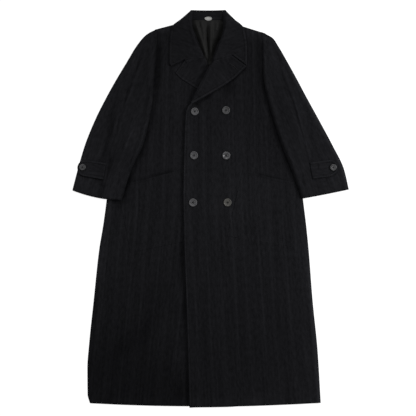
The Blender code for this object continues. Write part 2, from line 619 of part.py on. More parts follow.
lay("cuff_tab_right", PLAIN, CUFF_TAB_RIGHT, ("sleeve_top_right",), TAB, WOOL,
    8, 2, 2, reach=10)
lay("cuff_tab_left", PLAIN, CUFF_TAB_LEFT, ("sleeve_top_left",), TAB, WOOL,
    8, 2, 2, reach=10)
for row in BUTTONS:
    button(*row)
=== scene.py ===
import math

import bpy
import numpy as np
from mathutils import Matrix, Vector
from mathutils.kdtree import KDTree


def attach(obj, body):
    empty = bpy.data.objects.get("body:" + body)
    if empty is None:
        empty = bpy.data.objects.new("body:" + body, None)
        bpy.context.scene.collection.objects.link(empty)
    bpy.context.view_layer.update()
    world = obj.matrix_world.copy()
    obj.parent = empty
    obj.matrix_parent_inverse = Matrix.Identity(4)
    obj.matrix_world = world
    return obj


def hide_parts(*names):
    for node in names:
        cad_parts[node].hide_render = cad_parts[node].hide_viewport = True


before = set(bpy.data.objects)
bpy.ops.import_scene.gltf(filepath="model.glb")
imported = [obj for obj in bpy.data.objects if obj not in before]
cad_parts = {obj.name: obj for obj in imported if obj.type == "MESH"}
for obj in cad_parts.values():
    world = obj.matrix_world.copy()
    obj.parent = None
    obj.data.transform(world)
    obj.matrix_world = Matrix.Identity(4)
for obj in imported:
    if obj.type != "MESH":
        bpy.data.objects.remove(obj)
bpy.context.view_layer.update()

# ------------------------------------------------------------------ named sizes, mm
SQUARE = 3.25                    # one square of the measuring grid laid over the coat
GRID_X, GRID_Y = 210.60, 208.55  # grid column and row of the coat's middle
CLOTH = 3.0                      # heavy wool coating with its backing
DOUBLE = 4.4                     # collar and lapels: two cloths and a canvas
STAND = 4.0
PATCH = 2.6
TAB = 3.6
LINING = 0.8
LABEL = 0.7
GAP = 0.4                        # between pieces that lie on each other
STITCH_IN = 8.0                  # topstitching to edge
CELL = 1.0                       # height map
MAP_X, MAP_Y = 480, 680          # half sizes of the map
EDGE = np.array((0, 0.35, 0.9, 1.7, 2.8, 4.4, 7.0))   # columns close to an edge

# ------------------------------------------------------------------- section tables
# Positions are in squares of the measuring grid.  "in" is the inner edge of a piece
# (towards the front opening), "out" the outer one.  roll_in and roll_out are 1 where
# that edge is a fold that rounds down over the layer below, 0 where it is cut or sewn.
PLAIN = ("in_x", "in_y", "out_x", "out_y", "bow", "roll_in", "roll_out")
CORNER = ("in_x", "in_y", "mid_x", "mid_y", "out_x", "out_y", "roll_in", "roll_out")

FRONT_LEFT = (            # on top, closes over the right front
    (227.5, 21.5, 264.8, 33.0, 0, 0, 0),      # shoulder
    (222.7, 36.0, 266.0, 44.4, 0, 0, 0),
    (216.7, 53.0, 266.8, 60.4, 0, 0, 0),
    (209.7, 70.0, 267.6, 76.2, 0, 0, 0),
    (201.2, 87.5, 274.6, 92.0, 0, 0, 0),      # armhole turns out
    (190.8, 103.4, 284.4, 107.0, 0, 0, 0.6),  # lapel breaks
    (187.5, 107.4, 288.4, 111.0, 0, 0, 0.85),
    (185.7, 113.0, 292.5, 115.0, 0, 0, 1),    # armpit, first button
    (184.6, 135.0, 295.5, 138.0, 0, 0, 1),
    (183.9, 160.0, 299.0, 160.0, 0, 0, 1),    # waist, second button
    (183.3, 199.0, 303.1, 199.0, 0, 0, 1),    # third button
    (183.8, 225.0, 306.3, 225.0, 0, 0, 1),
    (184.4, 250.0, 308.8, 250.0, 0, 0, 1),
    (186.3, 300.0, 312.7, 300.0, 0, 0, 1),
    (187.9, 350.0, 317.7, 350.0, 0, 0, 1),
    (189.5, 407.4, 320.9, 403.1, 0.9, 0, 1),  # hem
)
FRONT_RIGHT = (
    (189.4, 20.4, 154.6, 29.4, 0, 0, 0),      # shoulder
    (195.7, 36.0, 154.4, 44.4, 0, 0, 0),
    (202.5, 53.0, 153.6, 60.4, 0, 0, 0),
    (210.0, 70.0, 152.2, 78.2, 0, 0, 0),
    (219.8, 87.0, 142.4, 94.0, 0, 0, 0),      # armhole turns out
    (226.8, 104.5, 128.6, 107.0, 0, 0, 0.6),  # lapel breaks
    (230.0, 113.0, 117.0, 115.0, 0, 0, 1),    # armpit
    (231.0, 135.0, 113.5, 138.0, 0, 0, 1),
    (231.4, 160.0, 110.5, 160.0, 0, 0, 1),    # waist
    (231.6, 199.0, 106.6, 199.0, 0, 0, 1),
    (231.8, 225.0, 103.1, 225.0, 0, 0, 1),
    (232.0, 250.0, 99.0, 250.0, 0, 0, 1),
    (232.0, 300.0, 93.6, 300.0, 0, 0, 1),
    (231.6, 345.0, 88.9, 345.0, 0, 0, 1),
    (231.3, 368.0, 87.2, 368.0, 0, 0, 1),
    (231.1, 396.5, 87.4, 394.5, 0, 0, 1),
    (231.0, 406.2, 89.8, 403.4, 1.4, 0, 1),   # hem, its corner rounded
)
BACK = (                  # inside the folds, from the wearer's right to the left
    (161.0, 34.0, 258.5, 36.5, -12.5, 0, 0),  # shoulders and neck
    (160.0, 44.0, 260.0, 44.0, -6.0, 0, 0),
    (159.0, 60.0, 261.0, 60.0, 0, 0, 0),
    (158.0, 78.0, 262.0, 76.0, 0, 0, 0),
    (147.0, 95.0, 270.0, 93.0, 0, 0, 0),
    (132.0, 108.5, 281.0, 108.5, 0, 0, 0),
    (120.5, 117.0, 289.0, 117.0, 0, 0, 0),    # armpits
    (113.8, 160.0, 294.8, 160.0, 0, 0, 0),
    (110.2, 199.0, 298.8, 199.0, 0, 0, 0),
    (102.3, 250.0, 305.5, 250.0, 0, 0, 0),
    (97.0, 300.0, 309.4, 300.0, 0, 0, 0),
    (91.8, 350.0, 314.4, 350.0, 0, 0, 0),
    (91.0, 402.2, 317.0, 401.4, 2.6, 0, 0),   # hem
)
SLEEVE_TOP_RIGHT = (
    (157.4, 29.3, 153.2, 30.6, 0, 0, 1),      # sleeve head at the shoulder
    (157.2, 34.0, 145.9, 35.0, 0, 0, 1),
    (156.9, 44.0, 137.2, 45.0, 0, 0, 1),
    (155.6, 60.0, 126.8, 62.0, 0, 0.1, 1),
    (154.4, 78.0, 116.0, 80.0, 0, 0.6, 1),    # armhole seam ends, fold begins
    (153.2, 97.0, 106.0, 98.0, 0, 1, 1),
    (149.5, 120.0, 95.0, 120.0, 0, 1, 1),
    (143.4, 145.0, 84.9, 145.0, 0, 1, 1),
    (131.5, 170.0, 77.8, 169.0, 0, 1, 1),
    (121.9, 200.4, 72.2, 190.4, 2.4, 1, 1),   # cuff
)
SLEEVE_TOP_LEFT = (
    (261.0, 31.8, 265.2, 33.2, 0, 0, 1),      # sleeve head at the shoulder
    (262.0, 37.6, 272.9, 38.0, 0, 0, 1),
    (262.5, 46.0, 278.3, 46.0, 0, 0, 1),
    (263.0, 61.0, 287.0, 61.0, 0, 0.1, 1),
    (263.7, 78.0, 296.4, 78.0, 0, 0.6, 1),    # armhole seam ends, fold begins
    (266.5, 97.0, 306.5, 97.0, 0, 1, 1),
    (273.0, 120.0, 319.1, 120.0, 0, 1, 1),
    (281.0, 145.0, 332.5, 145.0, 0, 1, 1),
    (291.0, 170.0, 343.9, 168.5, 0, 1, 1),
    (301.2, 198.9, 349.0, 189.5, 0.3, 1, 1),  # cuff
)
SLEEVE_UNDER_RIGHT = (
    (153.6, 39.0, 150.2, 39.6, 0, 0, 0),
    (153.6, 47.0, 142.0, 48.0, 0, 0, 0),
    (153.2, 60.0, 131.4, 62.6, 0, 0, 0),
    (152.4, 78.0, 120.0, 80.6, 0, 0, 0),
    (150.4, 97.0, 109.8, 98.6, 0, 0, 0),
    (146.3, 120.0, 98.8, 120.6, 0, 0, 0),
    (138.8, 144.5, 88.6, 145.8, 0, 0, 0),
    (127.8, 169.0, 81.4, 169.6, 0, 0, 0),
    (119.4, 198.6, 76.0, 189.8, 1.9, 0, 0),   # cuff
)
SLEEVE_UNDER_LEFT = (
    (266.6, 41.0, 269.8, 41.4, 0, 0, 0),
    (267.0, 48.0, 273.6, 48.4, 0, 0, 0),
    (267.3, 61.0, 282.2, 61.6, 0, 0, 0),
    (268.0, 78.0, 291.6, 78.6, 0, 0, 0),
    (271.0, 97.0, 301.8, 97.6, 0, 0, 0),
    (276.2, 120.0, 314.6, 120.6, 0, 0, 0),
    (284.2, 144.5, 327.7, 145.6, 0, 0, 0),
    (294.2, 169.0, 339.2, 169.0, 0, 0, 0),
    (303.6, 196.0, 345.0, 188.9, 0.3, 0, 0),  # cuff
)
LAPEL_RIGHT = (           # under, its lower end is hidden by the left lapel
    (205.3, 58.9, 184.9, 60.0, 175.4, 73.2, 1, 0),   # gorge seam and notch
    (209.4, 66.0, 191.6, 67.9, 180.5, 78.4, 1, 0),
    (213.9, 74.0, 199.6, 78.0, 189.0, 83.9, 1, 0),
    (219.0, 82.0, 207.6, 86.6, 199.5, 90.2, 1, 0),
    (224.5, 92.5, 219.0, 94.8, 214.5, 97.0, 1, 0),
    (230.0, 102.8, 229.0, 103.4, 228.0, 104.0, 1, 0),
)
LAPEL_LEFT = (
    (211.8, 62.4, 231.9, 55.1, 246.7, 66.5, 1, 0),   # gorge seam, peak
    (209.0, 67.0, 226.5, 63.5, 243.0, 69.9, 1, 0),
    (205.0, 75.0, 219.5, 74.0, 235.6, 77.2, 1, 0),
    (200.3, 83.5, 211.5, 83.8, 223.2, 86.4, 1, 0),
    (195.3, 93.2, 202.0, 94.0, 208.6, 95.0, 1, 0),
    (190.4, 102.8, 191.7, 103.2, 193.0, 103.6, 1, 0),
)
COLLAR_LEAF_RIGHT = (
    (193.0, 10.0, 192.0, 9.9, 191.1, 9.8, 1, 1),     # where the collar folds over
    (192.3, 18.0, 186.8, 18.2, 180.6, 18.9, 1, 1),
    (192.4, 26.0, 183.7, 25.8, 173.3, 25.1, 1, 1),   # meets the shoulder
    (194.6, 35.5, 183.0, 35.5, 170.2, 35.5, 1, 0),
    (198.2, 45.0, 183.2, 45.5, 169.5, 46.0, 1, 0),
    (202.0, 52.5, 183.8, 53.0, 169.3, 57.0, 1, 0),
    (204.3, 57.0, 184.5, 58.2, 169.4, 63.6, 1, 0),   # the tip is a little rounded
    (205.2, 58.7, 184.7, 59.8, 171.2, 66.5, 1, 0),   # gorge seam, notch, tip
)
COLLAR_LEAF_LEFT = (
    (222.3, 10.0, 223.8, 9.9, 225.4, 9.8, 1, 1),
    (223.0, 18.5, 228.9, 18.5, 234.5, 18.9, 1, 1),
    (223.2, 27.0, 232.7, 26.8, 242.7, 26.4, 1, 1),
    (221.6, 36.0, 233.0, 36.0, 245.4, 36.3, 1, 0),
    (216.9, 45.5, 232.4, 45.0, 246.8, 46.0, 1, 0),
    (213.9, 54.0, 232.0, 50.5, 246.9, 57.0, 1, 0),
    (211.6, 62.2, 231.9, 54.9, 246.9, 66.1, 1, 0),
)
COLLAR_UNDER = (          # the fall behind the neck, folded flat below the back
    (195.0, 14.6, 222.0, 14.6, 0, 0, 0),
    (188.5, 19.4, 228.5, 19.4, 0, 0, 0),
    (180.2, 26.6, 236.4, 27.2, 0, 0, 0),
    (177.2, 34.0, 239.4, 34.4, 1.8, 0, 0),
)
COLLAR_STAND = (          # across the back of the neck, top edge folded over
    (191.0, 9.7, 188.6, 20.0, 0, 1, 0),
    (200.0, 10.0, 199.8, 20.6, 0, 1, 0),
    (208.5, 10.1, 208.5, 20.8, 0, 1, 0),
    (216.6, 10.0, 217.0, 20.6, 0, 1, 0),
    (225.4, 9.7, 228.2, 20.2, 0, 1, 0),
)
LINING_BACK = (
    (188.0, 20.6, 228.5, 20.6, -0.4, 0, 0),
    (189.5, 32.0, 227.0, 32.0, 0, 0, 0),
    (193.0, 45.0, 223.0, 45.0, 0, 0, 0),
    (198.0, 58.0, 219.0, 58.0, 0, 0, 0),
    (201.0, 70.0, 217.0, 70.0, 0, 0, 0),
)
NECK_LABEL = (
    (206.7, 16.9, 209.9, 16.9, -0.2, 0, 0),
    (205.1, 17.6, 211.3, 17.6, 0, 0, 0),
    (204.6, 18.6, 211.8, 18.6, 0, 0, 0),
    (204.9, 19.4, 211.7, 19.4, 0, 0, 0),
    (206.2, 20.2, 210.8, 20.2, 0, 0, 0),
    (207.4, 20.8, 209.6, 20.8, 0.2, 0, 0),
)
POCKET_LEFT = (           # mouth, middle, bottom
    (243.0, 169.4, 297.5, 182.8, 1.2, 0, 0),
    (235.0, 202.5, 295.0, 214.7, 0, 0, 0),
    (227.0, 236.0, 291.5, 246.5, 0, 0, 0),
)
POCKET_RIGHT = (
    (180.5, 169.8, 117.0, 185.0, 0.8, 0, 0),
    (186.0, 205.0, 123.7, 219.0, 0, 0, 0),
    (192.0, 240.0, 130.5, 252.5, 0, 0, 0),
)
CUFF_TAB_RIGHT = (        # from the seam to the buttoned end
    (106.6, 163.2, 103.6, 179.8, 0, 0, 0),
    (97.0, 161.8, 92.5, 177.9, 0, 0, 0),
    (87.5, 160.2, 83.2, 176.0, 0, 0, 0),
    (82.3, 160.8, 79.3, 173.6, 0, 0, 0),
    (79.4, 163.2, 78.0, 170.4, 0, 0, 0),
    (78.0, 165.6, 77.6, 167.8, 0, 0, 0),
)
CUFF_TAB_LEFT = (
    (309.4, 162.6, 312.4, 179.0, 0, 0, 0),
    (320.0, 161.2, 322.0, 177.8, 0, 0, 0),
    (330.0, 160.0, 330.5, 176.4, 0, 0, 0),
    (334.3, 161.4, 335.0, 174.0, 0, 0, 0),
    (336.6, 163.8, 337.0, 171.4, 0, 0, 0),
    (337.6, 166.4, 337.7, 168.8, 0, 0, 0),
)
BUTTONS = (               # node, x, y, diameter, turn of the holes, what it is sewn on
    ("button_front_1", 194.8, 111.7, 25.0, 12, "front_left"),
    ("button_front_2", 226.0, 110.5, 26.0, 50, "front_left"),
    ("button_front_3", 194.0, 155.5, 26.0, 38, "front_left"),
    ("button_front_4", 226.2, 155.7, 26.0, 4, "front_left"),
    ("button_front_5", 193.1, 202.6, 26.5, 27, "front_left"),
    ("button_front_6", 227.5, 202.5, 26.0, 63, "front_left"),
    ("button_cuff_right", 83.0, 167.3, 21.0, 20, "cuff_tab_right"),
    ("button_cuff_left", 333.0, 167.6, 21.0, 70, "cuff_tab_left"),
)

# Creases and soft folds: piece, path in grid squares, half width and height in mm
# (below 0 is a trough), lean (above 0 makes the side left of the path steeper).
FOLDS = (
    # roll of the collar and the lapels
    ("collar_leaf_right lapel_right", ((192.5, 14), (194.5, 26), (201, 43.5), (208.5, 60), (222, 88)), 23, 4.4, 0),
    ("collar_leaf_left lapel_left", ((224.5, 14), (222.5, 27), (216, 46), (211.5, 62), (203, 79)), 22, 6.0, 0),
    ("collar_leaf_right", ((186, 22), (183, 40), (184, 56)), 26, 1.8, 0),
    ("collar_leaf_left", ((231, 22), (234, 40), (234, 50)), 26, 1.8, 0),
    # lining: one deep pleat between two soft ridges
    ("lining_back", ((195.8, 22), (199.0, 33), (202.6, 45), (206.4, 58)), 6.5, 8.0, 0),
    ("lining_back", ((202.2, 22), (203.8, 36), (206.0, 52)), 7.5, 7.5, 0),
    ("lining_back", ((199.4, 22.5), (200.2, 28)), 2.2, -2.6, 0),
    ("lining_back", ((211.4, 22), (210.6, 34), (210.5, 46), (210.9, 58)), 6.2, 8.5, 0),
    ("lining_back", ((207.2, 24), (207.5, 36), (208.4, 48), (209.4, 62)), 2.9, -11.0, 0),
    ("lining_back", ((217.2, 22), (215.8, 32)), 6, 4.0, 0),
    # right sleeve
    ("sleeve_top_right", ((114.5, 88), (111.2, 112), (108.2, 132), (107.0, 144)), 11, -4.2, 0),
    ("sleeve_top_right", ((147, 47), (140.2, 64), (132, 86), (127.5, 99)), 7, 4.4, 0.3),
    ("sleeve_top_right", ((144.6, 51), (138.4, 63.5), (134.6, 73)), 5, -3.6, 0),
    ("sleeve_top_right", ((127.4, 88), (124.5, 102)), 4.2, -2.4, 0),
    ("sleeve_top_right", ((145, 91), (139.4, 104)), 4.6, 3.2, 0),
    ("sleeve_top_right", ((118.5, 115), (116.4, 136)), 4.0, -3.0, 0),
    ("sleeve_top_right", ((115.6, 116), (113.8, 136)), 4.5, 2.6, 0),
    ("sleeve_top_right", ((132.4, 131), (126.4, 143), (122.6, 153)), 5.5, 3.8, 0.3),
    ("sleeve_top_right", ((124.2, 143.5), (120.8, 152)), 4, -3.0, 0),
    ("sleeve_top_right", ((110.4, 156), (108.6, 168), (106.2, 178)), 5.5, -3.2, 0),
    ("sleeve_top_right", ((95.5, 183.5), (105, 187.5)), 6, -1.4, 0),
    ("sleeve_top_right", ((150, 104), (146, 124), (139, 146), (130, 166)), 15, 2.2, 0),
    ("sleeve_top_right", ((100.5, 122), (95, 138)), 9, 1.4, 0),
    # left sleeve
    ("sleeve_top_left", ((280.5, 62), (284, 74), (289.6, 89.3), (295.4, 104.2), (299, 118)), 5, 1.8, 0),
    ("sleeve_top_left", ((292.4, 96), (295.4, 104.2), (301.1, 126), (305.7, 141), (309.0, 160)), 4.4, 3.8, 0),
    ("sleeve_top_left", ((279.0, 66), (281.6, 76), (287, 90), (292.8, 105)), 5, -0.9, 0),
    ("sleeve_top_left", ((290.2, 98), (292.8, 105), (298.4, 126), (303, 142)), 5, -1.9, 0),
    ("sleeve_top_left", ((301.5, 102), (304.6, 112), (308.4, 127), (311.4, 144)), 12, -3.6, 0),
    ("sleeve_top_left", ((275.6, 50), (279.4, 64)), 6, -1.5, 0),
    ("sleeve_top_left", ((272, 52), (275, 78), (281, 104), (288, 128)), 14, 2.0, 0),
    ("sleeve_top_left", ((313.5, 183.6), (326.5, 182)), 4.2, -1.9, 0),
    ("sleeve_top_left", ((316, 187), (325.5, 185.2)), 4, 1.5, 0),
    ("sleeve_top_left", ((318, 190), (327, 186.4)), 3.6, -1.5, 0),
    ("sleeve_top_left", ((303.2, 171), (306.8, 188)), 5, 1.6, 0),
    ("sleeve_top_left", ((316.5, 146), (322, 157)), 7, -1.5, 0),
    ("sleeve_top_left", ((294, 176), (302.5, 201)), 14, -2.5, 0),
    # fronts: hollows beside the armholes
    ("front_left", ((260.5, 44), (260.6, 62), (262.5, 84), (268, 98)), 12, -2.0, 0),
    ("front_left", ((252.5, 44), (253, 66), (255, 88), (260, 104)), 14, 2.6, 0),
    ("front_right", ((164.5, 42), (163.6, 60), (162.0, 80), (159.4, 97), (155, 112)), 13, 4.0, 0),
    ("front_left", ((244, 92), (245, 150)), 22, 1.2, 0),
    ("front_right", ((171, 82), (168, 150)), 20, 1.4, 0),
    # fronts: skirt
    ("front_right", ((164, 300), (150, 314), (141.5, 338), (130, 352), (111, 358)), 24, -3.6, 0),
    ("front_right", ((93.5, 370), (90.5, 398)), 14, -2.4, 0),
    ("front_right", ((158, 322), (152, 400)), 24, 2.2, 0),
    ("front_right", ((121, 366), (118, 404)), 18, 2.0, 0),
    ("front_right", ((126, 262), (118, 340)), 20, 1.6, 0),
    ("front_right", ((172, 252), (176, 330)), 16, -1.6, 0),
    ("front_left", ((291.5, 254), (295.6, 300), (299.5, 330), (301, 348)), 15, -3.4, 0),
    ("front_left", ((281, 256), (288, 346)), 20, 1.6, 0),
    ("front_left", ((302.5, 376), (305, 394)), 16, -2.6, 0),
    ("front_left", ((246, 262), (252, 330), (256, 402)), 20, 1.8, 0),
    ("front_left", ((224, 256), (230, 398)), 17, -1.8, 0),
    ("front_left", ((271, 300), (279, 402)), 17, -1.8, 0),
    ("front_left", ((207, 262), (210, 404)), 18, 1.3, 0),
    ("front_left", ((290, 366), (296, 402)), 16, 1.8, 0),
    # pocket mouths: the front dips below them
    ("front_right", ((150, 177.0), (160, 175.2), (172.5, 172.6)), 6, -1.6, 0),
    ("front_left", ((252, 172.6), (261, 175.8), (281, 181.0)), 7, -1.2, 0),
    # lapels
    ("lapel_left", ((232, 60), (220, 76)), 16, -1.2, 0),
    ("lapel_right", ((186, 66), (196, 78)), 14, -0.8, 0),
)
# Round dents where a button pulls the cloth in: piece, x, y, radius and depth in mm.
DENTS = tuple((on, x, y, 0.62 * d, 1.5 if on == "front_left" else 0.9)
              for _, x, y, d, _, on in BUTTONS)
# Soft patches that make the cloth's colour darker or lighter. They are partly painted light and shade
# (painted shade towards the lower left where the light falls off, under the lapels and round a button,
# painted light on the tops of the shoulders, in the middle of the curved neck label and painted shade
# along its edges) and partly tone of a brushed pile that lies another way: piece, x, y, half sizes in
# squares, turn in degrees, change.
PAINTED_LIGHT_SHADE_AND_NAP = (
    ("front_right", 116, 385, 64, 70, 15, -0.36),
    ("front_right", 140, 333, 34, 11, 44, -0.17),
    ("front_right", 155, 296, 30, 26, 0, -0.12),
    ("front_right", 172, 376, 26, 40, 0, -0.16),
    ("front_left", 216, 360, 60, 70, 0, -0.14),
    ("front_left", 246, 90, 50, 46, 0, -0.13),
    ("front_left", 262, 338, 62, 62, 0, -0.07),
    ("front_left", 228, 202, 34, 28, 0, 0.12),
    ("pocket_left", 238, 198, 26, 26, 0, 0.14),
    ("front_left", 262, 405, 60, 9, 0, 0.15),
    ("lapel_left", 228, 70, 26, 26, 0, -0.05),
    ("lapel_left", 203, 92, 16, 16, 0, 0.12),
    ("collar_leaf_right", 180, 45, 30, 30, 0, -0.10),
    ("sleeve_top_right", 82, 152, 22, 56, 0, 0.28),
    ("sleeve_top_right", 101.5, 153.5, 3.5, 9, 18, 0.20),
    ("sleeve_top_right", 111, 160, 4, 12, 0, -0.14),
    ("sleeve_top_right", 82, 186, 28, 20, 0, 0.18),
    ("sleeve_top_right", 118, 188, 10, 24, -20, 0.26),
    ("sleeve_top_right", 136, 122, 20, 30, 0, 0.13),
    ("sleeve_top_left", 338, 182, 26, 22, 0, 0.20),
    ("sleeve_top_left", 306.5, 176, 4, 12, -12, -0.16),
    ("cuff_tab_right", 92, 170, 40, 40, 0, 0.28),
    ("neck_label", 208.2, 18.7, 2.2, 1.5, 0, 0.30),
    ("neck_label", 208.2, 16.4, 6.0, 0.9, 0, -0.45),
    ("neck_label", 208.2, 21.2, 6.0, 1.0, 0, -0.45),
    ("lapel_right", 188, 79, 14, 6, -33, 0.18),
    ("front_left", 227.5, 89, 5, 8, 0, -0.36),
    ("front_left", 217, 93, 6, 4, -33, 0.20),
    ("front_left", 197.6, 104.8, 5.5, 2.2, -30, -0.30),
    ("lapel_left", 220, 67, 6, 6, 0, -0.16),
    ("front_right", 174, 76.5, 5.5, 5, 0, -0.16),
    ("front_left", 262, 82, 5, 15, 0, 0.08),
    ("front_right", 164, 30, 8, 4, 0, 0.40),
    ("front_left", 253, 33, 8, 3.5, 0, 0.28),
    ("sleeve_top_right", 138.5, 137, 5, 19, -20, 0.26),
    ("front_right", 131, 216, 7, 14, 0, 0.16),
    ("pocket_right", 131, 216, 7, 14, 0, 0.16),
    ("front_right", 180, 295, 6, 13, 0, 0.24),
    ("front_right", 180, 357, 6, 9, 0, 0.20),
    ("front_right", 181, 393, 7, 12, 0, -0.25),
    ("front_left", 196, 389, 9, 7, 0, -0.10),
    ("front_left", 270, 112, 5, 12, -15, 0.15),
    ("front_left", 293, 248, 8, 18, 0, 0.13),
    ("front_right", 172, 163, 7, 12, 0, 0.10),
    ("front_right", 170, 292, 6, 14, 0, -0.14),
    ("sleeve_top_left", 285, 88, 8, 16, 25, -0.11),
    ("cuff_tab_left", 325, 170, 40, 40, 0, 0.18),
)
